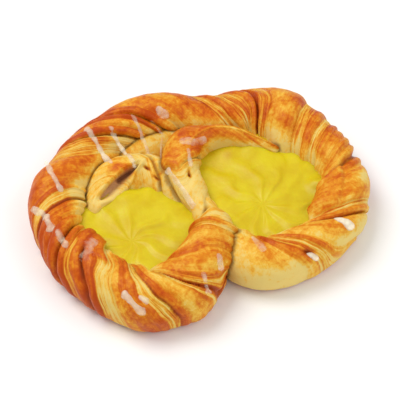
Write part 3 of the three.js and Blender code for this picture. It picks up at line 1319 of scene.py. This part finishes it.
class NodeBench:
    """Lays out one material's nodes."""

    def __init__(self, name: str) -> None:
        """Starts an empty material with a surface shader.

        Args:
            name: The material's name.
        """
        self.material = bpy.data.materials.new(name)
        self.material.use_nodes = True
        self.tree = self.material.node_tree
        self.tree.nodes.clear()
        self.shader = self.tree.nodes.new("ShaderNodeBsdfPrincipled")
        output = self.tree.nodes.new("ShaderNodeOutputMaterial")
        self.join(self.shader.outputs[0], output.inputs[0])

    def join(self, source: Socket, target: Socket) -> None:
        """Links an output to an input."""
        self.tree.links.new(source, target)

    def put(self, socket: Socket, value: object) -> None:
        """Feeds an input from an output, or sets it to a value.

        Args:
            socket: The input.
            value: The output, or the value.
        """
        if isinstance(value, Socket):
            self.join(value, socket)
        else:
            socket.default_value = value

    def attribute(self, name: str, vector: bool = False) -> Socket:
        """Reads a point attribute of the mesh.

        Args:
            name: The attribute's name.
            vector: Whether it is a vector and not a number.

        Returns:
            The socket that holds it.
        """
        node = self.tree.nodes.new("ShaderNodeAttribute")
        node.attribute_name = name
        return node.outputs["Vector" if vector else "Fac"]

    def place(self) -> Socket:
        """The point's place on the object."""
        return self.tree.nodes.new("ShaderNodeTexCoord").outputs["Object"]

    def stretched(self, source: Socket, scale: tuple) -> Socket:
        """Coordinates scaled by an amount for each axis.

        Args:
            source: The coordinates.
            scale: The three amounts.

        Returns:
            The socket with the scaled coordinates.
        """
        node = self.tree.nodes.new("ShaderNodeMapping")
        self.join(source, node.inputs["Vector"])
        node.inputs["Scale"].default_value = scale
        return node.outputs[0]

    def noise(self, source: Socket, scale: float, detail: float, rough: float = 0.5,
              distortion: float = 0.0) -> Socket:
        """A cloudy pattern between 0 and 1.

        Args:
            source: The coordinates it is drawn on.
            scale: Patches per unit of the coordinates.
            detail: How many finer patterns are added.
            rough: How strong the finer patterns are.
            distortion: How much the pattern is stirred.

        Returns:
            The socket with the pattern.
        """
        node = self.tree.nodes.new("ShaderNodeTexNoise")
        self.join(source, node.inputs["Vector"])
        node.inputs["Scale"].default_value = scale
        node.inputs["Detail"].default_value = detail
        node.inputs["Roughness"].default_value = rough
        node.inputs["Distortion"].default_value = distortion
        return node.outputs["Fac"]

    def math(self, operation: str, first: object, second: object = 0.0, third: object = 0.0,
             clamp: bool = False) -> Socket:
        """Arithmetic on numbers or sockets.

        Args:
            operation: The name of the operation.
            first: The first number or socket.
            second: The second number or socket.
            third: The third, for operations that take three.
            clamp: Whether to keep the result between 0 and 1.

        Returns:
            The socket with the result.
        """
        node = self.tree.nodes.new("ShaderNodeMath")
        node.operation = operation
        node.use_clamp = clamp
        for socket, value in zip(node.inputs, (first, second, third)):
            self.put(socket, value)
        return node.outputs[0]

    def remap(self, source: object, low: float, high: float, to_low: float = 0.0,
              to_high: float = 1.0) -> Socket:
        """Stretches a range of numbers onto another, and clamps it.

        Args:
            source: The number to stretch.
            low: The start of its range.
            high: The end of its range.
            to_low: What the start becomes.
            to_high: What the end becomes.

        Returns:
            The socket with the new number.
        """
        node = self.tree.nodes.new("ShaderNodeMapRange")
        node.interpolation_type = "SMOOTHSTEP"
        for socket, value in zip(node.inputs, (source, low, high, to_low, to_high)):
            self.put(socket, value)
        return node.outputs[0]

    def ramp(self, source: Socket, stops: tuple) -> Socket:
        """Turns a number into a colour.

        Args:
            source: The number.
            stops: Places from 0 to 1, each with its colour.

        Returns:
            The socket with the colour.
        """
        node = self.tree.nodes.new("ShaderNodeValToRGB")
        self.join(source, node.inputs[0])
        band = node.color_ramp
        while len(band.elements) < len(stops):
            band.elements.new(0.5)
        for element, (spot, colour) in zip(band.elements, stops):
            element.position = spot
            element.color = colour
        return node.outputs[0]

    def mix(self, share: object, first: object, second: object, way: str = "MIX") -> Socket:
        """Mixes two colours.

        Args:
            share: How much of the second, from 0 to 1.
            first: The first colour or socket.
            second: The second colour or socket.
            way: The way of mixing.

        Returns:
            The socket with the colour.
        """
        node = self.tree.nodes.new("ShaderNodeMix")
        node.data_type = "RGBA"
        node.blend_type = way
        self.put(node.inputs[0], share)
        self.put(node.inputs[6], first)
        self.put(node.inputs[7], second)
        return node.outputs[2]

    def sway(self, value: object, pattern: object, strength: object, clamp: bool = False) -> object:
        """Moves a number up and down with a pattern.

        Args:
            value: The number or socket.
            pattern: The pattern, whose middle is 0.5.
            strength: How far a step of 1 in the pattern moves it.
            clamp: Whether to keep the result between 0 and 1.

        Returns:
            The socket with the result.
        """
        centred = self.math("SUBTRACT", pattern, 0.5)
        return self.math("MULTIPLY_ADD", centred, strength, value, clamp=clamp)

    def coat(self, colour: object, roughness: object, shine: float = 0.5) -> None:
        """Sets the surface's own look.

        Args:
            colour: The colour or its socket.
            roughness: The roughness or its socket.
            shine: The strength of its reflections.
        """
        self.put(self.shader.inputs["Base Color"], colour)
        self.put(self.shader.inputs["Roughness"], roughness)
        self.shader.inputs["Specular IOR Level"].default_value = shine

    def soften(self, weight: float, reach: tuple[float, float, float]) -> None:
        """Lets light spread under the surface.

        Args:
            weight: How much of it does.
            reach: How far red, green and blue light spread, in metres.
        """
        self.shader.inputs["Subsurface Weight"].default_value = weight
        self.shader.inputs["Subsurface Radius"].default_value = reach
        self.shader.inputs["Subsurface Scale"].default_value = 1.0

    def bump(self, height: Socket, depth: float, strength: float) -> None:
        """Gives the surface fine relief.

        Args:
            height: The relief, from 0 to 1.
            depth: Its whole depth in metres.
            strength: How much of it shows.
        """
        node = self.tree.nodes.new("ShaderNodeBump")
        node.inputs["Strength"].default_value = strength
        node.inputs["Distance"].default_value = depth
        self.join(height, node.inputs["Height"])
        self.join(node.outputs[0], self.shader.inputs["Normal"])


@dataclass(frozen=True)
class CrustFinish:
    """Egg-washed puff pastry: cream where it is hardly baked, through gold to brown, with painted shade in
    its creases and hollows.
    """

    raw: tuple = linear(232, 203, 116)
    pale: tuple = linear(234, 184, 66)
    gold: tuple = linear(221, 140, 28)
    orange: tuple = linear(206, 103, 15)
    brown: tuple = linear(184, 72, 8)
    # the colour of the painted shade in creases, cracks, the tear's hole and under flaps
    painted_shade: tuple = linear(96, 36, 6)
    # the inside of the tear: torn dough, darkened in part as painted shade of the hollow
    pocket: tuple = linear(188, 138, 98)
    layer_scale: tuple = (0.75, 0.035, 0.02)
    thread_scale: tuple = (2.1, 0.09, 0.03)
    speckle_scale: float = 620.0
    cloud_scale: float = 130.0
    blotch_scale: float = 290.0
    layer_strength: Pair = (0.35, 2.2)
    thread_strength: Pair = (0.3, 1.1)
    blotch_strength: Pair = (0.75, 0.25)
    speckle_strength: float = 0.5
    cloud_strength: float = 0.45
    roughness: Pair = (0.55, 0.36)
    relief: float = 0.0012

    def make(self) -> bpy.types.Material:
        """Makes the material.

        Returns:
            The material, which reads the tones stored on the pastry.
        """
        bench = NodeBench("crust")
        flow = bench.attribute("flow", vector=True)
        layers = bench.attribute("layers")
        place = bench.place()
        threads = bench.noise(bench.stretched(flow, self.layer_scale), 1.0, 4, 0.62)
        fine = bench.noise(bench.stretched(flow, self.thread_scale), 1.0, 3, 0.6)
        speckle = bench.noise(place, self.speckle_scale, 4, 0.62, 0.4)
        cloud = bench.noise(place, self.cloud_scale, 3, 0.55, 0.6)
        blotch = bench.noise(place, self.blotch_scale, 3, 0.6, 0.9)
        bake = bench.attribute("bake")
        bake = bench.sway(bake, threads, bench.remap(layers, 0, 1, *self.layer_strength))
        bake = bench.sway(bake, fine, bench.remap(layers, 0, 1, *self.thread_strength))
        bake = bench.sway(bake, speckle, self.speckle_strength)
        bake = bench.sway(bake, blotch, bench.remap(layers, 0, 1, *self.blotch_strength))
        bake = bench.sway(bake, cloud, self.cloud_strength, clamp=True)
        colour = bench.ramp(
            bake,
            ((0.0, self.raw), (0.2, self.pale), (0.45, self.gold), (0.66, self.orange), (0.92, self.brown)),
        )
        # the tear's inside, tinted partly as painted shade of the hollow
        colour = bench.mix(bench.math("MULTIPLY", bench.attribute("pocket"), 0.9), colour, self.pocket)
        # painted shade: darkens the crust in creases, cracks, the tear's hole and under flaps
        colour = bench.mix(bench.math("MULTIPLY", bench.attribute("painted_shade"), 0.8), colour, self.painted_shade)
        under = bench.mix(speckle, self.orange, self.brown)
        colour = bench.mix(bench.attribute("under"), colour, under)
        bench.coat(colour, bench.remap(bake, 0, 0.9, *self.roughness), 0.14)
        bench.soften(0.08, (0.004, 0.002, 0.001))
        height = bench.math("MULTIPLY", threads, bench.remap(layers, 0, 1, 0.25, 1.0))
        bench.bump(bench.math("MULTIPLY_ADD", speckle, 0.22, height), self.relief, 0.8)
        return bench.material


@dataclass(frozen=True)
class PuddingFinish:
    """Glossy yellow vanilla pudding."""

    light: tuple = linear(217, 200, 26)
    deep: tuple = linear(206, 178, 10)
    stain: tuple = linear(190, 140, 30)
    cloud_scale: float = 90.0
    ripple_scale: float = 420.0
    roughness: Pair = (0.46, 0.36)
    relief: float = 0.0004

    def make(self) -> bpy.types.Material:
        """Makes the material.

        Returns:
            The material, which reads the stain stored on the pool.
        """
        bench = NodeBench("pudding")
        place = bench.place()
        cloud = bench.noise(place, self.cloud_scale, 3, 0.5, 0.5)
        colour = bench.mix(bench.remap(cloud, 0.2, 0.8), self.deep, self.light)
        colour = bench.mix(bench.attribute("stain"), colour, self.stain)
        bench.coat(colour, bench.remap(cloud, 0.2, 0.8, *self.roughness), 0.3)
        bench.soften(0.2, (0.008, 0.005, 0.001))
        bench.bump(bench.noise(place, self.ripple_scale, 3, 0.5), self.relief, 0.4)
        return bench.material


@dataclass(frozen=True)
class IcingFinish:
    """Thin sugar icing, milky where it is thick and clear where it is thin."""

    milk: tuple = linear(255, 248, 224)
    cream: tuple = linear(250, 238, 204)
    cloud_scale: float = 500.0
    relief: float = 0.0004
    most: float = 0.95

    def make(self) -> bpy.types.Material:
        """Makes the material.

        Returns:
            The material, which reads the milkiness stored on the stroke.
        """
        bench = NodeBench("icing")
        cloud = bench.noise(bench.place(), self.cloud_scale, 3, 0.6)
        bench.coat(bench.mix(cloud, self.cream, self.milk), 0.3)
        clear = bench.sway(bench.attribute("milk"), cloud, 0.5)
        bench.put(bench.shader.inputs["Alpha"], bench.math("MINIMUM", clear, self.most, clamp=True))
        bench.bump(cloud, self.relief, 0.5)
        return bench.material


@dataclass(frozen=True)
class FloorFinish:
    """A plain pale floor with the faintest cloudiness."""

    darker: tuple = linear(246, 246, 246)
    lighter: tuple = linear(250, 250, 250)
    cloud_scale: float = 30.0
    roughness: float = 0.9

    def make(self) -> bpy.types.Material:
        """Makes the material.

        Returns:
            The material.
        """
        bench = NodeBench("floor")
        cloud = bench.noise(bench.place(), self.cloud_scale, 2)
        bench.coat(bench.mix(cloud, self.darker, self.lighter), self.roughness)
        return bench.material


@dataclass(frozen=True)
class Spot:
    """A soft round place on the pudding: a rise or a stain."""

    x: float
    y: float
    size: float
    amount: float

    def share(self, x: Array, y: Array) -> Array:
        """Its amount at each place."""
        return self.amount * hump(0, self.size, np.hypot(x - self.x, y - self.y))


@dataclass
class PuddingPool:
    """A spoonful of pudding, poured in and swirled from its middle."""

    node: str
    middle: Pair
    half: Pair
    swirl: Pair
    folds: int
    curl: float
    seed: int
    rises: tuple[Spot, ...] = ()
    stains: tuple[Spot, ...] = ()
    sides: int = 240
    rings: int = 110
    wall_rings: int = 12
    floor_rings: int = 10
    level: float = 13.5
    crown: float = 1.2
    fold_height: float = 0.46
    ripple: float = 0.2
    waves: int = 3
    wave_height: float = 0.3
    calm: Pair = (0, 12)
    fading: Pair = (22, 40)
    faded: float = 0.3
    curl_reach: float = 30.0
    wander: float = 0.26
    wander_size: float = 9.0
    dimple_depth: float = 0.9
    dimple_size: float = 5.0
    lump_height: float = 0.3
    lumpy: Pair = (0.3, 0.9)
    smooth_below: float = 50.0

    def top(self, x: Array, y: Array) -> Array:
        """The height of the pudding's top.

        Args:
            x: Places to the right.
            y: Places to the back.

        Returns:
            Heights above the tray.
        """
        out = np.hypot((x - self.middle[0]) / self.half[0], (y - self.middle[1]) / self.half[1])
        dx, dy = x - self.swirl[0], y - self.swirl[1]
        far = np.hypot(dx, dy)
        flat = np.stack([x / self.wander_size, y / self.wander_size, 0 * x + self.seed], -1)
        turn = np.arctan2(dy, dx) + self.curl * far / self.curl_reach
        turn += self.wander * grain(flat, self.seed)
        petal = np.cos(turn * self.folds) + self.ripple * np.cos(2 * turn * self.folds + 1)
        wave = np.cos(turn * self.waves + self.seed)
        strength = blend(*self.calm, far) * (1 - self.faded * blend(*self.fading, far))
        height = self.level + self.crown * (1 - np.clip(out, 0, 1) ** 2)
        height += strength * (self.fold_height * petal + self.wave_height * wave)
        height -= self.dimple_depth * hump(0, self.dimple_size, far)
        height += self.lump_height * grain(flat * 1.1, self.seed + 1) * blend(*self.lumpy, out)
        for rise in self.rises:
            height += rise.share(x, y)
        return height

    def poured(self, side: Array, ring: Array) -> Array:
        """The uncut pool: its top, then an upright wall, then a flat floor.

        Args:
            side: The side number of each point.
            ring: The ring number of each point.

        Returns:
            The points, one per row.
        """
        turn = side / self.sides * 2 * math.pi
        wall = self.rings - self.wall_rings - self.floor_rings
        floor = wall + self.wall_rings
        share = np.clip(ring / wall, 0, 1)
        edge_x = self.middle[0] + self.half[0] * np.cos(turn)
        edge_y = self.middle[1] + self.half[1] * np.sin(turn)
        x = self.swirl[0] + (edge_x - self.swirl[0]) * share
        y = self.swirl[1] + (edge_y - self.swirl[1]) * share
        z = self.top(x, y) * (1 - np.clip((ring - wall) / self.wall_rings, 0, 1))
        inward = 1 - np.clip((ring - floor) / self.floor_rings, 0, 1)
        x = np.where(ring > floor, self.middle[0] + (x - self.middle[0]) * inward, x)
        y = np.where(ring > floor, self.middle[1] + (y - self.middle[1]) * inward, y)
        return np.stack([x, y, z], -1)

    def build(self, pastry: Piece, placement: Placement) -> Piece:
        """Makes the pool and cuts it to fit the pastry.

        Args:
            pastry: The finished pastry.
            placement: Where millimetres lie in the scene.

        Returns:
            The finished pool.
        """
        pool, side, ring = shaped_sphere(self.node + "_look", self.sides, self.rings)
        write_points(pool, placement.to_scene(self.poured(side, ring)))
        cutter = pastry.copy()
        cutter.data = pastry.data.copy()
        bpy.context.scene.collection.objects.link(cutter)
        apply_boolean(pool, cutter, "DIFFERENCE")
        keep_largest(pool)
        for name in TONES:
            tone = pool.data.attributes.get(name)
            if tone:
                pool.data.attributes.remove(tone)
        x, y, _ = placement.from_scene(read_points(pool)).T
        stain = np.zeros(len(x))
        for spot in self.stains:
            stain = np.maximum(stain, spot.share(x, y))
        write_tone(pool, "stain", stain)
        finish_mesh(pool, self.smooth_below)
        return pool


def keep_largest(piece: Piece) -> None:
    """Removes crumbs that a cut has left beside the piece.

    Args:
        piece: The piece after cutting.
    """
    ends = np.empty(len(piece.data.edges) * 2, dtype=np.int32)
    piece.data.edges.foreach_get("vertices", ends)
    ends = ends.reshape(-1, 2)
    group = np.arange(len(piece.data.vertices))
    while True:
        low = np.minimum(group[ends[:, 0]], group[ends[:, 1]])
        fresh = group.copy()
        np.minimum.at(fresh, ends[:, 0], low)
        np.minimum.at(fresh, ends[:, 1], low)
        fresh = fresh[fresh]
        if (fresh == group).all():
            break
        group = fresh
    names, sizes = np.unique(group, return_counts=True)
    main_group = names[np.argmax(sizes)]
    select_only(piece)
    bpy.ops.object.mode_set(mode="EDIT")
    bpy.ops.mesh.select_all(action="DESELECT")
    bpy.ops.object.mode_set(mode="OBJECT")
    piece.data.vertices.foreach_set("select", group != main_group)
    bpy.ops.object.mode_set(mode="EDIT")
    bpy.ops.mesh.delete(type="VERT")
    bpy.ops.object.mode_set(mode="OBJECT")


POOLS = (
    PuddingPool(
        "pudding_left", (-38, -10), (33, 35), (-41.6, -16), folds=9, curl=0.5, seed=41,
        rises=(Spot(-44, 9, 6, 1.3), Spot(-34, 11, 6, 1.6)),
    ),
    PuddingPool(
        "pudding_right", (35, -9), (37, 37), (24.8, -21.6), folds=10, curl=-0.35, seed=47,
        rises=(
            Spot(24, 17, 7, 1.8),
            Spot(36, 13, 8, 3.2),
            Spot(53, -21.5, 3.5, 2.2),
            Spot(57.5, -24.8, 3, 6.0),
        ),
        stains=(Spot(22.5, 12.4, 2.4, 0.5),),
    ),
)


@dataclass(frozen=True)
class Stroke:
    """One thread or drop of icing, with the x and y of the points it runs through."""

    node: str
    half_width: float
    thickness: float
    milk: float
    line: tuple


STROKES = (
    Stroke("icing_back_left_long", 1.7, 1.3, 0.75, ((-37, 52), (-36, 44), (-35, 37), (-34, 28))),
    Stroke("icing_back_left_short", 1.5, 1.2, 0.70, ((-26, 47), (-24.5, 39), (-24, 29), (-24.5, 21))),
    Stroke("icing_back_left_string", 1.1, 1.1, 0.60, ((-13, 50), (-11.5, 43), (-13, 27))),
    Stroke("icing_back_dab", 2.6, 1.4, 0.66, ((1.5, 48.5), (2.8, 46))),
    Stroke("icing_back_string", 1.0, 1.1, 0.55, ((-4, 46), (-1, 40), (-8, 27))),
    Stroke("icing_left_upper", 1.6, 1.2, 0.70, ((-63, 40), (-64, 30), (-63, 20))),
    Stroke("icing_left_drip", 2.2, 1.5, 0.75, ((-78, 18), (-75, 10), (-75.5, 0))),
    Stroke("icing_left_dab", 1.9, 1.3, 0.70, ((-73.5, -5), (-73, -13))),
    Stroke("icing_left_patch", 3.6, 1.2, 0.52, ((-62, -17.2), (-66.5, -23.5))),
    Stroke("icing_front_drip", 1.9, 1.4, 0.75, ((-59, -50), (-57, -55), (-54.5, -59))),
    Stroke("icing_front_drop", 1.4, 1.2, 0.70, ((-53, -54.5), (-51.5, -56.5))),
    Stroke("icing_middle_drip", 1.4, 1.2, 0.60, ((-22.5, -55), (-23.5, -62))),
    Stroke("icing_middle_dab", 2.2, 1.2, 0.62, ((-12.3, -50), (-13.3, -53.5))),
    Stroke("icing_centre_long", 1.5, 1.2, 0.68, ((-11, 11), (-10.2, 5), (-9.2, -2), (-8, -12))),
    Stroke("icing_centre_short", 1.2, 1.1, 0.60, ((2, 15), (0, 8))),
    Stroke("icing_arch_dab", 2.4, 1.0, 0.45, ((2, 21), (7, 19), (12, 20))),
    Stroke("icing_notch_dab", 2.4, 1.1, 0.50, ((8, -45), (8.5, -52))),
    Stroke("icing_right_drip", 2.5, 1.5, 0.95, ((49, -51), (53, -55.5))),
    Stroke("icing_right_dab", 1.6, 1.1, 0.90, ((28, -62), (30.5, -64))),
)


@dataclass
class Icing:
    """Threads and drops of icing that lie on the pastry and the pudding and span their gaps."""

    ground: BVHTree
    placement: Placement
    sides: int = 16
    step: float = 0.6
    fewest: int = 10
    sink: float = 0.35
    bridge: float = 6.0
    softness: float = 1.2
    droop: float = 1.4
    climb: float = 0.6
    rest: float = 0.1
    visible: float = 0.5
    slim: float = 0.8
    wobble: Mottle = Mottle(0.45, 2.6, 31)
    wobble_level: float = 7.8
    ceiling: float = 60.0
    thickest: float = 0.95
    thinning: float = 2.3
    edge_share: float = 0.35
    blotches: tuple[Mottle, ...] = (Mottle(0.2, 1.8, 33), Mottle(0.3, 5, 34))
    blotch_limit: float = 1.15
    milk_range: Pair = (0.02, 0.97)
    dip: float = 0.8
    smooth_below: float = 80.0

    def height(self, x: Array, y: Array) -> Array:
        """The height of the pastry or pudding under each place.

        Args:
            x: Places to the right.
            y: Places to the back.

        Returns:
            Heights in millimetres.
        """
        found = []
        for spot in self.placement.to_scene(np.stack([x, y, 0 * x + self.ceiling], -1)):
            hit = self.ground.ray_cast(Vector(spot), Vector((0, 0, -1)))[0]
            found.append(hit if hit is not None else Vector((spot[0], spot[1], 0)))
        return self.placement.from_scene(np.array(found))[:, 2]

    def path(self, stroke: Stroke) -> tuple[Array, Array, Array, Array]:
        """The stroke's middle line, drawn on past its ends to round them.

        Args:
            stroke: The stroke's place and size.

        Returns:
            The distance of each row along the stroke, its x and y, the direction of travel there,
            and how much of the full width is left.
        """
        knots = np.array(stroke.line, float)
        gaps = np.linalg.norm(np.diff(knots, axis=0), axis=1)
        at = np.concatenate([[0], np.cumsum(gaps)])
        count = max(self.fewest, round((at[-1] + 2 * stroke.half_width) / self.step))
        along = np.linspace(-stroke.half_width, at[-1] + stroke.half_width, count + 1)
        if len(knots) > 2:
            ahead = np.gradient(knots, at, axis=0)
        else:
            ahead = np.repeat(np.diff(knots, axis=0) / at[-1], 2, 0)
        inside = np.clip(along, 0, at[-1])
        line = np.stack([np.interp(inside, at, column) for column in knots.T], -1)
        way = np.stack([np.interp(inside, at, column) for column in ahead.T], -1)
        way /= np.linalg.norm(way, axis=1, keepdims=True)
        line = line + way * (along - inside)[:, None]
        over = abs(along - inside) / stroke.half_width
        return along, line, way, np.sqrt(np.clip(1 - over**2, 0, 1))

    def build(self, stroke: Stroke) -> Piece:
        """Makes one stroke of icing.

        Args:
            stroke: The stroke's place and size.

        Returns:
            The finished piece.
        """
        along, line, way, taper = self.path(stroke)
        spots = np.stack([line[:, 0], line[:, 1], 0 * along + self.wobble_level], -1)
        width = self.slim * stroke.half_width * taper * (1 + self.wobble.over(spots))
        middle = self.closed(self.height(line[:, 0], line[:, 1]), along)
        across = np.stack([-way[:, 1], way[:, 0]], -1)
        last = len(along) + 1
        piece, side, ring = shaped_sphere(stroke.node + "_look", self.sides, last)
        row = np.clip(ring - 1, 0, len(along) - 1)
        turn = side / self.sides * 2 * math.pi
        pole = (ring == 0) | (ring == last)
        out = np.where(pole, 0, np.cos(turn))
        spot = line[row] + across[row] * (width[row] * out)[:, None]
        under = np.maximum(self.height(spot[:, 0], spot[:, 1]), middle[row] - self.droop)
        under = np.minimum(under, middle[row] + self.climb)
        up = np.where(pole, 0, np.sin(turn)) * taper[row]
        rise = np.where(up > 0, self.visible * stroke.thickness * up, self.sink * up)
        points = np.stack([spot[:, 0], spot[:, 1], under + rise - self.rest], -1)
        write_points(piece, self.placement.to_scene(points))
        write_tone(piece, "milk", self.milk(stroke, points, up))
        finish_mesh(piece, self.smooth_below)
        return piece

    def milk(self, stroke: Stroke, points: Array, up: Array) -> Array:
        """How milky the icing is: less at its edges and in blotches.

        Args:
            stroke: The stroke.
            points: Its points.
            up: How near the top of the stroke each point is.

        Returns:
            Numbers between 0 and 1.
        """
        domed = self.edge_share + (1 - self.edge_share) * np.clip(up, 0, 1)
        milk = self.thickest * stroke.milk**self.thinning * domed
        blotch = sum(mottle.over(points) for mottle in self.blotches)
        return np.clip(milk + blotch * (self.blotch_limit - stroke.milk), *self.milk_range)

    def closed(self, heights: Array, along: Array) -> Array:
        """Heights with the narrow gaps bridged, as icing spans them.

        Args:
            heights: Heights of the ground along a stroke.
            along: Distances along the stroke.

        Returns:
            The stroke's own heights.
        """
        apart = abs(along[:, None] - along[None, :])
        near = apart < self.bridge
        raised = np.where(near, heights[None, :], -np.inf).max(axis=1)
        lowered = np.where(near, raised[None, :], np.inf).min(axis=1)
        soft = hump(0, self.softness, apart)
        soft /= soft.sum(axis=1, keepdims=True)
        return soft @ np.maximum(lowered - self.dip, heights)


@dataclass(frozen=True)
class Lamp:
    """A soft square lamp that faces the part, in metres and watts."""

    name: str
    place: tuple[float, float, float]
    size: float
    power: float
    tint: tuple[float, float, float]


@dataclass
class Studio:
    """The camera, the light and the floor. Places are in metres, lens and sensor in millimetres."""

    target: tuple[float, float, float] = (-0.0035, -0.009, 0.012)
    distance: float = 0.560
    azimuth: float = -25.0
    elevation: float = 50.0
    sensor: float = 36.0
    lens: float = 103.8
    shift: Pair = (0.0025, 0.0175)
    lamps: tuple[Lamp, ...] = (
        Lamp("key", (-0.35, 0.35, 0.9), 0.6, 6.5, (1.0, 0.98, 0.95)),
        Lamp("fill", (0.5, -0.6, 0.7), 0.8, 3.0, (1.0, 1.0, 1.0)),
    )
    sky: float = 0.55
    floor_size: float = 6.0
    floor_gap: float = 0.0002

    def add_camera(self) -> None:
        """Adds the camera and makes it the scene's own."""
        turn, tilt = math.radians(self.azimuth), math.radians(self.elevation)
        back = Vector((math.sin(turn) * math.cos(tilt), -math.cos(turn) * math.cos(tilt), math.sin(tilt)))
        right = Vector((math.cos(turn), math.sin(turn), 0))
        axes = Matrix((right, back.cross(right), back)).transposed()
        data = bpy.data.cameras.new("camera")
        camera = bpy.data.objects.new("camera", data)
        bpy.context.scene.collection.objects.link(camera)
        camera.matrix_world = Matrix.Translation(Vector(self.target) + back * self.distance) @ axes.to_4x4()
        data.sensor_width = self.sensor
        data.lens = self.lens
        data.shift_x, data.shift_y = self.shift
        data.clip_start = 0.01
        bpy.context.scene.camera = camera

    def add_lamp(self, lamp: Lamp) -> None:
        """Hangs one lamp.

        Args:
            lamp: The lamp.
        """
        data = bpy.data.lights.new(lamp.name, "AREA")
        data.size = lamp.size
        data.energy = lamp.power
        data.color = lamp.tint
        light = bpy.data.objects.new(lamp.name, data)
        bpy.context.scene.collection.objects.link(light)
        light.location = lamp.place
        facing = Vector(lamp.place) - Vector(self.target)
        light.rotation_euler = facing.to_track_quat("Z", "Y").to_euler()

    def add_floor(self) -> None:
        """Adds the plain pale floor, just under the part."""
        bpy.ops.object.select_all(action="DESELECT")
        bpy.ops.mesh.primitive_grid_add(size=self.floor_size, location=(0, 0, 0))
        floor = bpy.context.object
        floor.name = "floor"
        floor.data.materials.append(FloorFinish().make())
        points = read_points(floor)
        points[:, 2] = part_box("dough_rope")[0][2] - self.floor_gap
        write_points(floor, points)

    def build(self) -> None:
        """Sets up the whole studio."""
        self.add_camera()
        for lamp in self.lamps:
            self.add_lamp(lamp)
        self.add_floor()
        world = bpy.data.worlds.new("studio")
        world.use_nodes = True
        sky = world.node_tree.nodes["Background"]
        sky.inputs["Color"].default_value = (1, 1, 1, 1)
        sky.inputs["Strength"].default_value = self.sky
        bpy.context.scene.world = world
        bpy.context.scene.view_settings.view_transform = "Standard"


def dress(piece: Piece, finish: bpy.types.Material, node: str) -> None:
    """Gives a piece its finish and ties it to the CAD part.

    Args:
        piece: The finished piece.
        finish: Its material.
        node: The CAD node it stands for.
    """
    piece.data.materials.clear()
    piece.data.materials.append(finish)
    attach(piece, "root")
    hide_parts(node)
    LOG.info("%s: %d points", piece.name, len(piece.data.vertices))


def surface_of(pieces: list[Piece]) -> BVHTree:
    """Gathers the faces of several pieces, so that places on them can be looked up.

    Args:
        pieces: The pieces.

    Returns:
        The tree of their faces.
    """
    corners: list[Vector] = []
    faces: list[list[int]] = []
    for piece in pieces:
        base = len(corners)
        corners.extend(vertex.co.copy() for vertex in piece.data.vertices)
        faces.extend([base + corner for corner in face.vertices] for face in piece.data.polygons)
    return BVHTree.FromPolygons(corners, faces)


def main() -> None:
    """Builds the pretzel piece by piece."""
    logging.basicConfig(level=logging.INFO, format="%(message)s")
    LOG.info("%d nodes in the frame", len(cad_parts))
    placement = Placement()
    pastry = Pastry(Rope(), placement).build()
    dress(pastry, CrustFinish().make(), "dough_rope")
    ground = [pastry]
    pudding = PuddingFinish().make()
    for pool in POOLS:
        piece = pool.build(pastry, placement)
        dress(piece, pudding, pool.node)
        ground.append(piece)
    icing = Icing(surface_of(ground), placement)
    finish = IcingFinish().make()
    for stroke in STROKES:
        dress(icing.build(stroke), finish, stroke.node)
    Studio().build()


if __name__ == "__main__":
    main()
